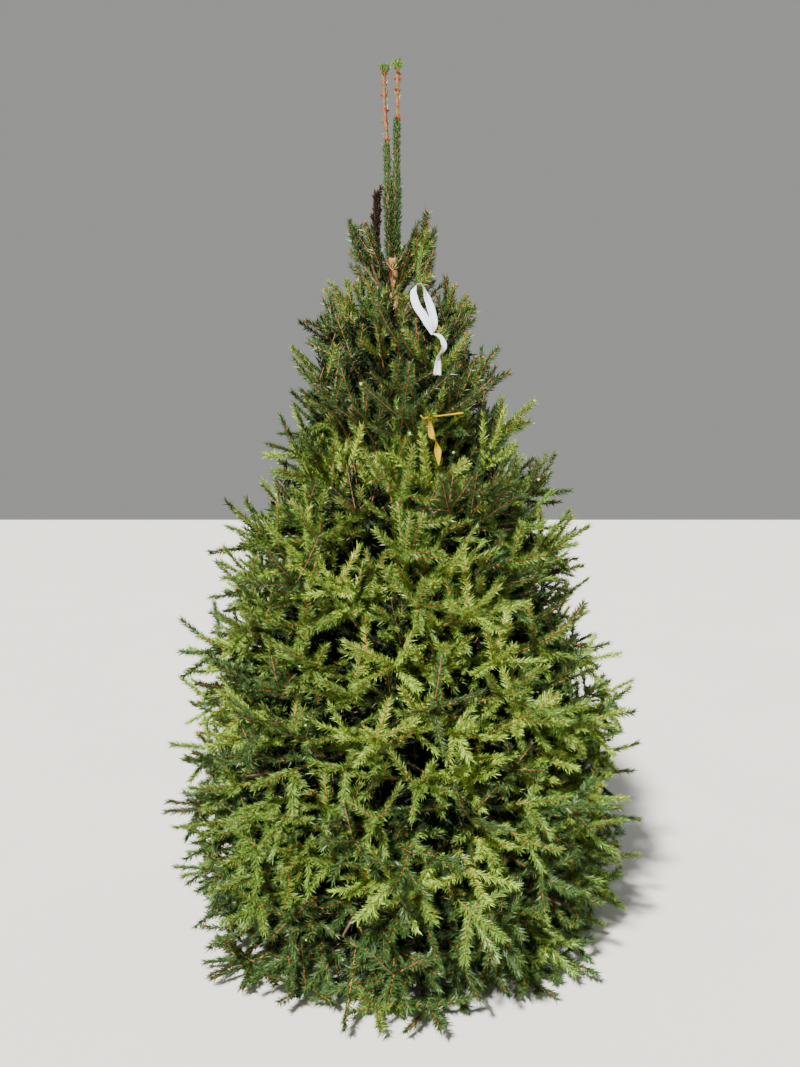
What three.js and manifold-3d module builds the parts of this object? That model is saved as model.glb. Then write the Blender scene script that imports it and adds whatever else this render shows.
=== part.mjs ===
/**
 * A young Norway spruce with a double leader, standing rooted at ground level.
 *
 * Millimetres, +Z up, origin at the middle of the flat cut under the trunk. The view from -Y is
 * the front. Six tiers of foliage stand round one trunk, which stays whole up to its fork. Two
 * living leaders and a short dead one rise from the fork.
 *
 * A place in the crown is told in three numbers: how far out it is, its bearing round the trunk,
 * and the height on the trunk that a bough through it springs from. Boughs rise steeply near the
 * top and sag a little near the ground, so this last number follows them outwards, and each mass
 * of foliage owns a range of bearings and a range of spring heights.
 */
import * as THREE from "three";
import { mergeVertices } from "three/addons/utils/BufferGeometryUtils.js";
import Module from "manifold-3d";

const wasm = await Module();
wasm.setup();

// Driving sizes of the whole tree.
const TREE_HEIGHT = 3185;
const FORK_HEIGHT = 2462;
const CROWN_TOP = 2700;
const WIDEST_HEIGHT = 420;
const WIDEST_RADIUS = 915;
const GROUND_CLEARANCE = 18;
const CLEAR = 0.3; // between pieces that carry each other
const SPACE_EDGE = 5; // that foliage keeps inside the edge of its own space

// The trunk.
const TRUNK_FOOT_RADIUS = 50;
const TRUNK_TOP_RADIUS = 17;
const TRUNK_LEAN = -42; // sideways shift of the fork
const FLARE_HEIGHT = 150;
const FLARE_SPREAD = 34;
const ROOT_LOBES = 5;
const LOBE_DEPTH = 0.17;
const TRUNK_SIDES = 15;

// The leaders: places across the trunk's top, tips, and the share of each that needles clothe.
const LEADERS = [
  { name: "left_leader", footX: -9, tipX: -75, tipZ: TREE_HEIGHT - 14, needled: 0.6, seed: 11 },
  { name: "right_leader", footX: 9, tipX: -24, tipZ: TREE_HEIGHT, needled: 0.7, seed: 23 },
];
const LEADER_RADIUS = 8;
const LEADER_NEEDLES = 9;
const LEADER_BUDS = 3;
const TUFT_NEEDLES = 4;
const TUFT_LENGTH = 28;
const DEAD_LEADER = { spring: 2262, tipX: -100, tipZ: 2700, stubs: 4 };

// How steeply a bough rises, by the height in metres that it springs from.
const RISE_AT_GROUND = -0.2;
const RISE_PER_METRE = 0.5;
const RISE_CURVE = 0.1;

// A spray: its thickness for its length, where it is thickest, and its outline on one side as
// places along the rib and out from it, from the root's waist to the last notch before the tip.
const BLADE_THICKNESS = 0.07;
const BLADE_THICKEST = 0.38;
const BLADE_SIDE = [[0.2, 0.05], [0.5, 0.5], [0.48, 0.13], [0.8, 0.37], [0.78, 0.1]];

// Wood in a mass: the boughs' share of the way out, radii of boughs, stems and twigs, where on
// the way out the first twigs part from a stem, and how much of the space's width they fan over.
const BOUGH_SHARE = 0.38;
const BOUGH_RADII = [17, 13, 10];
const STEM_RADII = [10, 8, 7];
const TWIG_RADII = [8, 6];
const TWIG_START = 0.3;
const TWIG_FAN = 0.88;
const STOUTNESS_LOST = 0.08; // by all of this wood from each tier to the next

// The dense middle of a mass: how far out it goes, the points of its star-shaped section, how deep
// the star is cut, and its girth at places along it.
const CORE_REACH = 0.68;
const CORE_POINTS = 5;
const CORE_HOLLOW = 0.78;
const CORE_STATIONS = [[0, 0.3], [0.42, 1], [1, 0.92]];
const CORE_DRAWN_OUT = 1.14;

// How a spray sits: its share past the twig's end, its root's depth in the twig, the shortest one
// for the longest, and how it rolls, curls, droops and lifts.
const SPRAY_OVERHANG = 0.9;
const SPRAY_SUNK = 12;
const SHORTEST_SPRAY = 0.84;
const SPRAY_ROLL = 0.8;
const SPRAY_CURL = 0.16;
const SPRAY_DROOP = 0.12;
const TIP_LIFT = 0.12;

// The crown's outline: how sharply it draws in to the top, and how far it tucks in at the ground.
const OUTLINE_BULGE = 1.75;
const OUTLINE_SHOULDER = 0.9;
const FOOT_TUCK = 0.09;

/**
 * One entry for each tier, from the ground up: the range of spring heights, the number of masses,
 * the bearing of the first, the number of twigs in each row of a mass from its underside up, the
 * length of its longest spray, a spray's width for its length, and the share of the space that
 * the dense middle fills.
 */
const TIERS = [
  { low: 145, high: 430, masses: 6, turn: 0.26, rows: [2, 3], spray: 330, broad: 0.66, plump: 0.94 },
  { low: 430, high: 740, masses: 6, turn: 0.78, rows: [3, 2], spray: 330, broad: 0.66, plump: 0.94 },
  { low: 740, high: 1080, masses: 5, turn: -1.57, rows: [3, 2], spray: 320, broad: 0.64, plump: 0.94 },
  { low: 1080, high: 1460, masses: 5, turn: 0.6, rows: [3, 2], spray: 310, broad: 0.62, plump: 0.94 },
  { low: 1460, high: 1940, masses: 4, turn: 0.5, rows: [3, 3], spray: 300, broad: 0.58, plump: 0.85 },
  { low: 1940, high: 2450, masses: 3, turn: 0, rows: [3, 3], spray: 240, broad: 0.4, plump: 0.6 },
];
const TIERS_WITH_BOUGHS = 4; // higher up, the masses' stems spring from the trunk itself

const FULL_TURN = 2 * Math.PI;
const GOLDEN_ANGLE = 2.39996;
const UP = new THREE.Vector3(0, 0, 1);

// Colours from the tree: grey-brown bark, rust-brown young wood, deep green needles, dead needles.
const bark = new THREE.MeshStandardMaterial({ color: 0x6b5a48, roughness: 0.95, metalness: 0 });
const youngWood = new THREE.MeshStandardMaterial({ color: 0x9a6a42, roughness: 0.85, metalness: 0 });
const needles = new THREE.MeshStandardMaterial({ color: 0x35502a, roughness: 0.7, metalness: 0 });
const deadNeedles = new THREE.MeshStandardMaterial({ color: 0x2e241d, roughness: 0.9, metalness: 0 });

/** A seeded stream of numbers from 0 to 1, the same on every run. */
function seededDraws(seed) {
  let state = seed >>> 0;
  return () => {
    state = (state + 0x6d2b79f5) >>> 0;
    let t = state;
    t = Math.imul(t ^ (t >>> 15), t | 1);
    t ^= t + Math.imul(t ^ (t >>> 7), t | 61);
    return ((t ^ (t >>> 14)) >>> 0) / 4294967296;
  };
}

/** A draw spread evenly from -spread to spread. */
function jitter(draw, spread) {
  return (draw() * 2 - 1) * spread;
}

function trunkLean(z) {
  return TRUNK_LEAN * (z / FORK_HEIGHT) ** 2;
}

/** The trunk's radius: a straight taper, with the roots' flare near the ground. */
function trunkRadius(z) {
  const taper = THREE.MathUtils.lerp(TRUNK_FOOT_RADIUS, TRUNK_TOP_RADIUS, z / FORK_HEIGHT);
  const flare = Math.max(0, 1 - z / FLARE_HEIGHT);
  return taper + FLARE_SPREAD * flare ** 2.4;
}

/** How far the foliage's tips reach from the trunk at a height. */
function outlineRadius(z) {
  if (z < WIDEST_HEIGHT) {
    const below = (WIDEST_HEIGHT - z) / WIDEST_HEIGHT;
    return WIDEST_RADIUS * (1 - FOOT_TUCK * below * below);
  }
  const up = Math.min(1, (z - WIDEST_HEIGHT) / (CROWN_TOP - WIDEST_HEIGHT));
  return WIDEST_RADIUS * (1 - up ** OUTLINE_BULGE) ** OUTLINE_SHOULDER;
}

/** Rise for each millimetre outwards of a bough that springs from a height. */
function boughRise(spring) {
  const metres = spring / 1000;
  return RISE_AT_GROUND + RISE_PER_METRE * metres + RISE_CURVE * metres * metres;
}

/** The point that lies `out` from the trunk's axis on a bough of this bearing and spring height. */
function place(out, bearing, spring) {
  const z = spring + out * boughRise(spring);
  return new THREE.Vector3(
    trunkLean(z) + out * Math.cos(bearing),
    out * Math.sin(bearing),
    z,
  );
}

/** The distance out, bearing and spring height of a point: what `place` turns into the point. */
function whereInCrown(point) {
  const x = point.x - trunkLean(point.z);
  const out = Math.hypot(x, point.y);
  const metresOut = out / 1000;
  const metresUp = point.z / 1000;
  const a = RISE_CURVE * metresOut;
  const b = 1 + RISE_PER_METRE * metresOut;
  const c = RISE_AT_GROUND * metresOut - metresUp;
  const spring = a < 1e-6 ? -c / b : (-b + Math.sqrt(b * b - 4 * a * c)) / (2 * a);
  return { out, bearing: Math.atan2(point.y, x), spring: spring * 1000 };
}

/** How far out a bough of this spring height meets the crown's outline. */
function reach(spring) {
  let near = 0;
  let far = WIDEST_RADIUS;
  for (let step = 0; step < 30; step += 1) {
    const middle = (near + far) / 2;
    if (middle < outlineRadius(spring + middle * boughRise(spring))) near = middle;
    else far = middle;
  }
  return near;
}

/** True if a point lies in a mass's own space, a little inside its edges. */
function inSpace(space, point) {
  const at = whereInCrown(point);
  let off = Math.abs(at.bearing - space.bearing) % FULL_TURN;
  if (off > Math.PI) off = FULL_TURN - off;
  const toSide = at.out * Math.sin(Math.max(0, space.half - off));
  return (
    toSide > SPACE_EDGE &&
    at.spring > space.low + SPACE_EDGE &&
    at.spring < space.high - SPACE_EDGE &&
    point.z > GROUND_CLEARANCE
  );
}

/** A closed solid from a three.js geometry, its shared corners merged. */
function solidFrom(geometry) {
  const bare = geometry.clone();
  bare.deleteAttribute("normal");
  bare.deleteAttribute("uv");
  const merged = mergeVertices(bare, 1e-4);
  return new wasm.Manifold(
    new wasm.Mesh({
      numProp: 3,
      vertProperties: Float32Array.from(merged.attributes.position.array),
      triVerts: Uint32Array.from(merged.index.array),
    }),
  );
}

/** A geometry from corners and the triangles between them. */
function geometryFrom(corners, triangles) {
  const geometry = new THREE.BufferGeometry();
  geometry.setAttribute(
    "position",
    new THREE.Float32BufferAttribute(corners.flatMap((corner) => corner.toArray()), 3),
  );
  geometry.setIndex(triangles.flat());
  return geometry;
}

/** A solid as a named mesh. Scraps cut loose and hollows sealed by the joining are left out. */
function namedMesh(name, solid, material) {
  const pieces = solid.decompose().sort((one, other) => other.volume() - one.volume());
  const made = pieces[0].getMesh();
  const geometry = new THREE.BufferGeometry();
  const corners = new Float32Array(made.numVert * 3);
  for (let i = 0; i < made.numVert; i += 1) {
    corners.set(made.vertProperties.subarray(i * made.numProp, i * made.numProp + 3), i * 3);
  }
  geometry.setAttribute("position", new THREE.BufferAttribute(corners, 3));
  geometry.setIndex(new THREE.BufferAttribute(made.triVerts, 1));
  geometry.computeVertexNormals();
  const mesh = new THREE.Mesh(geometry, material);
  mesh.name = name;
  return mesh;
}

/** Two directions square to a line, the first as level as it can be. */
function sideways(along) {
  const level = new THREE.Vector3().crossVectors(UP, along);
  if (level.lengthSq() < 1e-4) level.set(1, 0, 0);
  level.normalize();
  return [level, new THREE.Vector3().crossVectors(along, level).normalize()];
}

/**
 * A tapering limb along a line of points: rings of `sides` corners, closed flat at both ends. Each
 * ring's first direction is carried on from the ring before, so that the limb never twists.
 */
function limb(points, radii, sides) {
  const corners = [];
  const triangles = [];
  const level = new THREE.Vector3();
  points.forEach((point, i) => {
    const before = points[Math.max(0, i - 1)];
    const after = points[Math.min(points.length - 1, i + 1)];
    const along = new THREE.Vector3().subVectors(after, before).normalize();
    if (i === 0) level.copy(sideways(along)[0]);
    level.addScaledVector(along, -level.dot(along)).normalize();
    const over = new THREE.Vector3().crossVectors(along, level);
    for (let k = 0; k < sides; k += 1) {
      const angle = (k / sides) * FULL_TURN;
      corners.push(
        point
          .clone()
          .addScaledVector(level, radii[i] * Math.cos(angle))
          .addScaledVector(over, radii[i] * Math.sin(angle)),
      );
    }
  });
  for (let i = 0; i + 1 < points.length; i += 1) {
    for (let k = 0; k < sides; k += 1) {
      const a = i * sides + k;
      const b = i * sides + ((k + 1) % sides);
      triangles.push([a, b, a + sides], [b, b + sides, a + sides]);
    }
  }
  const last = (points.length - 1) * sides;
  for (let k = 1; k + 1 < sides; k += 1) {
    triangles.push([0, k + 1, k], [last, last + k, last + k + 1]);
  }
  return solidFrom(geometryFrom(corners, triangles));
}

/**
 * A spray of needles as a deeply toothed blade: a rib with two side shoots swept forwards on each
 * side, thickest in the middle, its side shoots curled up or down out of its plane. Returns its
 * corners too, for the test of its space.
 */
function toothedBlade({ root, along, flat, length, broad, curl }) {
  const across = new THREE.Vector3().crossVectors(flat, along).normalize();
  const over = new THREE.Vector3().crossVectors(along, across).normalize();
  const at = (x, y, z) =>
    root
      .clone()
      .addScaledVector(along, x * length)
      .addScaledVector(across, y * length * broad)
      .addScaledVector(over, z * length);
  const outline = [at(0, 0, 0)];
  BLADE_SIDE.forEach(([x, y]) => outline.push(at(x, y, y * curl)));
  outline.push(at(1, 0, curl * 0.3));
  BLADE_SIDE.toReversed().forEach(([x, y]) => outline.push(at(x, -y, y * curl)));
  const half = BLADE_THICKNESS / 2;
  const corners = [...outline, at(BLADE_THICKEST, 0, half), at(BLADE_THICKEST, 0, -half)];
  const [top, under] = [outline.length, outline.length + 1];
  const triangles = outline.flatMap((_, k) => {
    const next = (k + 1) % outline.length;
    return [[top, next, k], [under, k, next]];
  });
  return { corners, solid: solidFrom(geometryFrom(corners, triangles)) };
}

/** The trunk, from its flat cut at the ground to the fork; `grown` swells it, for cutting. */
function trunkSolid(grown) {
  const rings = [0, 40, 90, FLARE_HEIGHT, 620, 1250, 1850, FORK_HEIGHT];
  const corners = [];
  const triangles = [];
  rings.forEach((z, i) => {
    const flare = Math.max(0, 1 - z / FLARE_HEIGHT);
    for (let k = 0; k < TRUNK_SIDES; k += 1) {
      const angle = (k / TRUNK_SIDES) * FULL_TURN;
      const lobe = 1 + LOBE_DEPTH * flare * Math.cos(ROOT_LOBES * angle);
      const radius = trunkRadius(z) * lobe + grown;
      corners.push(
        new THREE.Vector3(trunkLean(z) + radius * Math.cos(angle), radius * Math.sin(angle), z),
      );
    }
  });
  const last = (rings.length - 1) * TRUNK_SIDES;
  for (let a = 0; a < last; a += 1) {
    const b = (a + 1) % TRUNK_SIDES ? a + 1 : a + 1 - TRUNK_SIDES;
    triangles.push([a, b, a + TRUNK_SIDES], [b, b + TRUNK_SIDES, a + TRUNK_SIDES]);
  }
  for (let k = 1; k + 1 < TRUNK_SIDES; k += 1) {
    triangles.push([0, k + 1, k], [last, last + k, last + k + 1]);
  }
  return solidFrom(geometryFrom(corners, triangles));
}

/** One bough: a single tapering limb from the trunk's bark out to where its foliage begins. */
function boughSolid(space, trunkCut) {
  const inner = trunkRadius(space.spring) * 0.5;
  const outer = space.stemStart - CLEAR;
  const points = [inner, (inner + outer) / 2, outer].map((out) =>
    place(out, space.bearing, space.spring),
  );
  const radii = BOUGH_RADII.map((radius) => radius * space.stout);
  return limb(points, radii, 6).subtract(trunkCut);
}

/**
 * The dense middle of a mass, smaller than its space: a shaggy lobe along the stem, its section a
 * star, and every second corner of its outer end drawn out into a point.
 */
function coreSolid(space, draw) {
  const sides = 2 * CORE_POINTS;
  const from = THREE.MathUtils.lerp(space.stemStart, space.reach, space.bough ? 0.06 : 0.16);
  const to = space.reach * CORE_REACH;
  const halfHeight = (space.high - space.low) / 2;
  const corners = [];
  const triangles = [];
  CORE_STATIONS.forEach(([share, swell], i) => {
    for (let k = 0; k < sides; k += 1) {
      const angle = ((k + (i % 2)) / sides) * FULL_TURN;
      const point = (k + i) % 2 === 0;
      const wide = space.plump * swell * (point ? 1 : CORE_HOLLOW) * (1 + jitter(draw, 0.03));
      const drawnOut = i + 1 === CORE_STATIONS.length && point ? CORE_DRAWN_OUT : 1;
      const out = THREE.MathUtils.lerp(from, to, share) * drawnOut * (1 + jitter(draw, 0.03));
      const bearing = space.bearing + Math.cos(angle) * wide * space.half;
      corners.push(place(out, bearing, space.spring + Math.sin(angle) * wide * halfHeight));
    }
  });
  const last = (CORE_STATIONS.length - 1) * sides;
  const [near, far] = [corners.length, corners.length + 1];
  corners.push(place(from - 8, space.bearing, space.spring));
  corners.push(place(to, space.bearing, space.spring));
  for (let k = 0; k < last; k += 1) {
    const next = (k + 1) % sides ? k + 1 : k + 1 - sides;
    triangles.push([k, next, k + sides], [next, next + sides, k + sides]);
  }
  for (let k = 0; k < sides; k += 1) {
    const next = (k + 1) % sides;
    triangles.push([near, next, k], [far, last + k, last + next]);
  }
  return solidFrom(geometryFrom(corners, triangles));
}

/**
 * The spray at a twig's end, or nothing. Where it would leave the space or touch a limb it is
 * tried again nearer level and a little shorter, and then skipped.
 */
function sprayAt(space, end, along, length, draw) {
  const over = sideways(along)[1];
  const roll = jitter(draw, SPRAY_ROLL);
  const curl = jitter(draw, SPRAY_CURL) - SPRAY_DROOP;
  const root = end.clone().addScaledVector(along, -SPRAY_SUNK);
  for (const calm of [1, 0.7, 0.35, 0]) {
    const spray = toothedBlade({
      root,
      along,
      flat: over.clone().applyAxisAngle(along, roll * calm),
      length: length * (0.62 + 0.38 * calm),
      broad: space.broad,
      curl: curl * calm,
    });
    if (fits(space, spray)) return spray.solid;
  }
  return null;
}

/** True if a spray or twig stays in its mass's space and touches no limb. */
function fits(space, { corners, solid }) {
  if (!corners.every((corner) => inSpace(space, corner))) return false;
  return space.limbs.every((other) => solid.intersect(other).isEmpty());
}

/**
 * One mass of foliage, by the rule that the whole crown follows. A stem leads out from the bough
 * or the trunk towards the outline. Twigs leave it above, below and to both sides, and run to
 * places spread evenly over the outer face of the mass's own space. The stem and each twig end in
 * a spray, and a twig whose spray would leave the space is skipped with it.
 */
function foliageSolid(space, draw, trunkCut) {
  const slant = Math.hypot(1, boughRise(space.spring));
  const from = space.bough ? space.stemStart : trunkRadius(space.spring) * 0.5;
  const stemEnd = space.reach - (space.spray * SPRAY_OVERHANG) / slant;
  const stem = [from, (from + stemEnd) / 2, stemEnd].map((out) =>
    place(out, space.bearing, space.spring),
  );
  const lead = new THREE.Vector3().subVectors(stem[2], stem[1]).normalize();
  const wood = STEM_RADII.map((radius) => radius * space.stout);
  const parts = [limb(stem, wood, 3), coreSolid(space, draw)];
  const leading = sprayAt(space, stem[2], lead, space.spray, draw);
  if (leading) parts.push(leading);
  space.rows.forEach((count, row) => {
    const height = (row + 0.5) / space.rows.length;
    for (let column = 0; column < count; column += 1) {
      const share = (column + 0.5 + jitter(draw, 0.08) + (row % 2 ? 0.1 : -0.1)) / count;
      const bearing = space.bearing + (share * 2 - 1) * space.half * TWIG_FAN;
      const spring = THREE.MathUtils.lerp(space.low, space.high, height + jitter(draw, 0.04));
      const length = space.spray * THREE.MathUtils.lerp(SHORTEST_SPRAY, 1, draw());
      const tip = reach(spring) * (0.97 + jitter(draw, 0.03));
      const first = THREE.MathUtils.lerp(space.stemStart, tip, TWIG_START);
      const last = tip - (length * SPRAY_OVERHANG) / Math.hypot(1, boughRise(spring));
      const twig = [place(first, space.bearing, space.spring), place(last, bearing, spring)];
      const heading = place(last + 1, bearing, spring).sub(twig[1]).normalize();
      heading.addScaledVector(UP, TIP_LIFT + jitter(draw, 0.08)).normalize();
      const spray = sprayAt(space, twig[1], heading, length, draw);
      const wand = { corners: twig, solid: limb(twig, TWIG_RADII, 3) };
      if (spray && fits(space, wand)) parts.push(wand.solid, spray);
    }
  });
  const joined = wasm.Manifold.union(parts);
  return space.bough ? joined : joined.subtract(trunkCut);
}

/** The spaces of all masses, tier by tier, with where each stem starts and how far it reaches. */
function crownSpaces(limbs) {
  return TIERS.flatMap((tier, t) => {
    const spring = (tier.low + tier.high) / 2;
    const bough = t < TIERS_WITH_BOUGHS;
    const out = reach(spring);
    return Array.from({ length: tier.masses }, (_, i) => ({
      ...tier,
      bough,
      limbs,
      name: `${t + 1}_${i + 1}`,
      seed: 1009 * (t + 1) + 97 * i,
      spring,
      reach: out,
      bearing: tier.turn + (i / tier.masses) * FULL_TURN,
      half: Math.PI / tier.masses,
      stemStart: bough ? out * BOUGH_SHARE : trunkRadius(spring) + CLEAR,
      stout: 1 - STOUTNESS_LOST * t,
    }));
  });
}

/** A needle or bud as a long eight-sided grain, from a root out along a heading. */
function grain(root, heading, length, width) {
  const shape = new THREE.OctahedronGeometry(0.5);
  shape.scale(width, length, width);
  shape.translate(0, length / 2, 0);
  const turned = new THREE.Quaternion().setFromUnitVectors(new THREE.Vector3(0, 1, 0), heading);
  shape.applyQuaternion(turned);
  shape.translate(root.x, root.y, root.z);
  return solidFrom(shape);
}

/**
 * A living leader: a straight shoot with needles pressed along its lower part, bare wood with
 * buds above, and a tuft of needles round the bud at its tip.
 */
function livingLeader({ foot, tip, needled, seed }) {
  const draw = seededDraws(seed);
  const shoot = new THREE.Vector3().subVectors(tip, foot);
  const along = shoot.clone().normalize();
  const [level, over] = sideways(along);
  const outward = (angle) =>
    level.clone().multiplyScalar(Math.cos(angle)).addScaledVector(over, Math.sin(angle));
  const at = (share) => foot.clone().lerp(tip, share);
  const woodEnd = 1 - TUFT_LENGTH / shoot.length();
  const radiusAt = (share) => LEADER_RADIUS * (1 - 0.35 * share);
  const shares = [0, 0.5, woodEnd];
  const parts = [limb(shares.map(at), shares.map(radiusAt), 6)];
  for (let k = 0; k < LEADER_NEEDLES; k += 1) {
    const out = outward(k * GOLDEN_ANGLE);
    const share = 0.02 + ((k + 0.3) / LEADER_NEEDLES) * needled;
    const heading = along.clone().addScaledVector(out, 0.2 + 0.06 * draw()).normalize();
    parts.push(grain(at(share).addScaledVector(out, 3), heading, 70 + 16 * draw(), 15));
  }
  for (let k = 0; k < LEADER_BUDS; k += 1) {
    const out = outward(k * GOLDEN_ANGLE + 0.5);
    const share = THREE.MathUtils.lerp(needled, 0.95, (k + 0.7) / LEADER_BUDS);
    parts.push(grain(at(share).addScaledVector(out, 2), out, radiusAt(share) + 8, 11));
  }
  for (let k = 0; k < TUFT_NEEDLES; k += 1) {
    const out = outward((k / TUFT_NEEDLES) * FULL_TURN);
    const heading = along.clone().addScaledVector(out, k ? 0.45 : 0).normalize();
    parts.push(grain(at(woodEnd - 0.012), heading, (k ? 1.12 : 1.25) * TUFT_LENGTH, 13));
  }
  return wasm.Manifold.union(parts);
}

/** The dead leader: a thin stem from the trunk's side that turns up, with stubs of dead shoots. */
function deadLeader(grown) {
  const draw = seededDraws(41);
  const foot = place(TRUNK_TOP_RADIUS * 0.5, Math.PI, DEAD_LEADER.spring);
  const points = [
    foot,
    new THREE.Vector3(DEAD_LEADER.tipX + 4, 0, DEAD_LEADER.spring + 95),
    new THREE.Vector3(DEAD_LEADER.tipX - 6, 0, DEAD_LEADER.spring + 210),
    new THREE.Vector3(DEAD_LEADER.tipX, 0, DEAD_LEADER.tipZ),
  ];
  const parts = [limb(points, [9, 8, 7, 3].map((radius) => radius + grown), 6)];
  for (let k = 0; k < DEAD_LEADER.stubs; k += 1) {
    const angle = k * GOLDEN_ANGLE;
    const root = points[2].clone().lerp(points[3], (k + 0.2) / DEAD_LEADER.stubs);
    const heading = new THREE.Vector3(Math.cos(angle) * 0.3, Math.sin(angle) * 0.3, 1).normalize();
    parts.push(grain(root, heading, 48 + 10 * draw(), 11 + 2 * grown));
  }
  return wasm.Manifold.union(parts);
}

/** The two living leaders, standing side by side on the trunk's flat top. */
function livingLeaders() {
  const top = new THREE.Vector3(trunkLean(FORK_HEIGHT), 0, FORK_HEIGHT + CLEAR);
  return LEADERS.map(({ name, footX, tipX, tipZ, needled, seed }) => ({
    name,
    solid: livingLeader({
      foot: top.clone().add(new THREE.Vector3(footX, 0, 0)),
      tip: new THREE.Vector3(tipX, 0, tipZ),
      needled,
      seed,
    }),
  }));
}

const tree = new THREE.Group();
const trunk = trunkSolid(0);
const trunkCut = trunkSolid(CLEAR * 1.4);
const deadCut = deadLeader(CLEAR * 2);
tree.add(namedMesh("trunk", trunk, bark));
const spaces = crownSpaces([trunkCut, deadCut]);
spaces.filter((space) => space.bough).forEach((space) => {
  tree.add(namedMesh(`bough_${space.name}`, boughSolid(space, trunkCut), bark));
});
spaces.forEach((space) => {
  const solid = foliageSolid(space, seededDraws(space.seed), trunkCut);
  tree.add(namedMesh(`foliage_${space.name}`, solid, needles));
});
livingLeaders().forEach(({ name, solid }) => tree.add(namedMesh(name, solid, youngWood)));
tree.add(namedMesh("dead_leader", deadLeader(0).subtract(trunkCut), deadNeedles));

export default tree;
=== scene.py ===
"""A young Norway spruce with a double leader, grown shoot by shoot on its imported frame.

Metres, +Z up, the origin at the middle of the flat cut under the trunk, the front towards -Y.

A place in the crown is told in three numbers: how far out it is, its bearing round the trunk, and
the height on the trunk that a bough through it springs from. Each mass of foliage owns a range of
bearings and a range of spring heights. Its stem leads out from a bough or from the trunk, twigs
leave the stem and run to places spread over the outer face of the mass, and each twig ends in a
spray of the last years' shoots, every one set with needles.
"""

import math
import random

import bpy
import numpy as np
from mathutils import Matrix, Vector, noise


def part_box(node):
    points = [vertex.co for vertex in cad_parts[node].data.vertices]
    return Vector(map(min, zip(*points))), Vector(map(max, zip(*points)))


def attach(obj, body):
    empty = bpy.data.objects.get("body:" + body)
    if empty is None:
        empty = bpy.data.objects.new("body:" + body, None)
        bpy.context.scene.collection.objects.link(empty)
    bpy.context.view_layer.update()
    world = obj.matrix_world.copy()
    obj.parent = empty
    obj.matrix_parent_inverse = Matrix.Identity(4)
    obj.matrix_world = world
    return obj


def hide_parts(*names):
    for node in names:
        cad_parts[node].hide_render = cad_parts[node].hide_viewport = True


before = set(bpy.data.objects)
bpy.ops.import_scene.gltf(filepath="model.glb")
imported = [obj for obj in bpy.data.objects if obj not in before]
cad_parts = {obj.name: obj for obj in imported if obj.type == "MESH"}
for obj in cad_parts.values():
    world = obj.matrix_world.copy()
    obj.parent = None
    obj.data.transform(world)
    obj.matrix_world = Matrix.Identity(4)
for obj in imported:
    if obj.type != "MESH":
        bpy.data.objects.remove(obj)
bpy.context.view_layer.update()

bl_info = {
    "name": "Young Spruce",
    "version": (1, 0, 0),
    "blender": (4, 5, 0),
    "location": "View3D > Sidebar > Spruce",
    "description": "Grows bark, boughs, shoots and needles on the packed frame of a spruce",
    "category": "Add Mesh",
}

FULL_TURN = 2 * math.pi
GOLDEN_ANGLE = 2.39996
UP = Vector((0, 0, 1))

# The greens that a spray's needles may take, the last one kept for the shaded inside. The lightest
# and deepest differ partly by the sprays' own tones and partly by painted sun and painted shade,
# and the inner green is painted shade.
LIGHT, MIDDLE, DEEP, INNER = range(4)

# The crown's form, as in the part's source.
FORK_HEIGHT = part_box("trunk")[1].z
CROWN_TOP = 2.7
WIDEST_HEIGHT = 0.42
WIDEST_RADIUS = 0.915
TRUNK_FOOT_RADIUS = 0.05
TRUNK_TOP_RADIUS = 0.017
TRUNK_LEAN = -0.042
FLARE_HEIGHT = 0.15
FLARE_SPREAD = 0.034
ROOT_LOBES = 5
LOBE_DEPTH = 0.17
RISE_AT_GROUND = -0.2
RISE_PER_METRE = 0.5
RISE_CURVE = 0.1
OUTLINE_BULGE = 1.75
OUTLINE_SHOULDER = 0.9
FOOT_TUCK = 0.09
BOUGH_SHARE = 0.38
TIERS_WITH_BOUGHS = 4
STOUTNESS_LOST = 0.08

# Where shoots may grow: the heights between which the dark inner ones stand, how far under the
# fork the wide room round it starts, how tall that room is, and how far a shoot keeps from the
# leaders for each metre above it.
INNER_LOWEST = 0.04
INNER_HIGHEST = FORK_HEIGHT - 0.2
ROOM_UNDER_FORK = 0.05
WIDE_ROOM = 0.2
CONE_SLOPE = 0.6

# Sprays: the lengths of the shoots that fork from one, as shares of its own, how far a spray
# reaches past its twig, in lengths of its first shoot, and how wide a twig's side shoots open.
LEADING_SHARE = 0.92
SIDE_SHARES = (0.65, 1.0)
SPRAY_REACH = 1.85
SIDE_OPENING = 0.85

# The dark shoots inside: how many stand round a stem and round the trunk, and their lengths.
ROUND_STEM = 5
ROUND_TRUNK = 7
STEM_SIDE_LENGTHS = (0.13, 0.22)
TRUNK_SIDE_LENGTHS = (0.16, 0.26)

# The whorl at the fork: how far under it the shoots start, and how steeply they rise.
WHORL_DEPTHS = (0.03, 0.16)
WHORL_SLOPES = (0.75, 1.15)

# Painted shade: how much commoner the deepest green gets towards the top and the ground, and from
# what height, standing in for the dim top and the foot in the tree's own shade.
PAINTED_SHADE_AT_TOP = 0.75
PAINTED_SHADE_AT_GROUND = 0.55
PAINTED_SHADE_BELOW = 0.7

# Wood: how many stretches a twig is bent in, then radii and one length in metres.
TWIG_STEPS = 6
TWIG_RADIUS = 0.0042
TWIG_END_RADIUS = 0.0024
CARRIER_RADIUS = 0.0045
CARRIER_END_RADIUS = 0.003
SHOOT_RADIUS = 0.0023
OLDER_SHOOT_RADIUS = 0.003
STEM_RADIUS = 0.016
STEM_END_RADIUS = 0.0035
YOUNG_BARK_LENGTH = 0.62

# Bark on the trunk: how closely its scales stand round it and up it, how sharply the seams between
# them are cut, and how far it swells in and out.
SCALES_ROUND = 3.2
SCALES_UP = 14
SEAM_SHARPNESS = 4
BARK_SWELL = 0.0016

# Seeds of the random draws.
GROWTH_SEED = 880
LEADER_SEED = 77
LEADER_NEEDLE_SEED = 91
DEAD_LEADER_SEED = 41
DEAD_NEEDLE_SEED = 43

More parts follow.
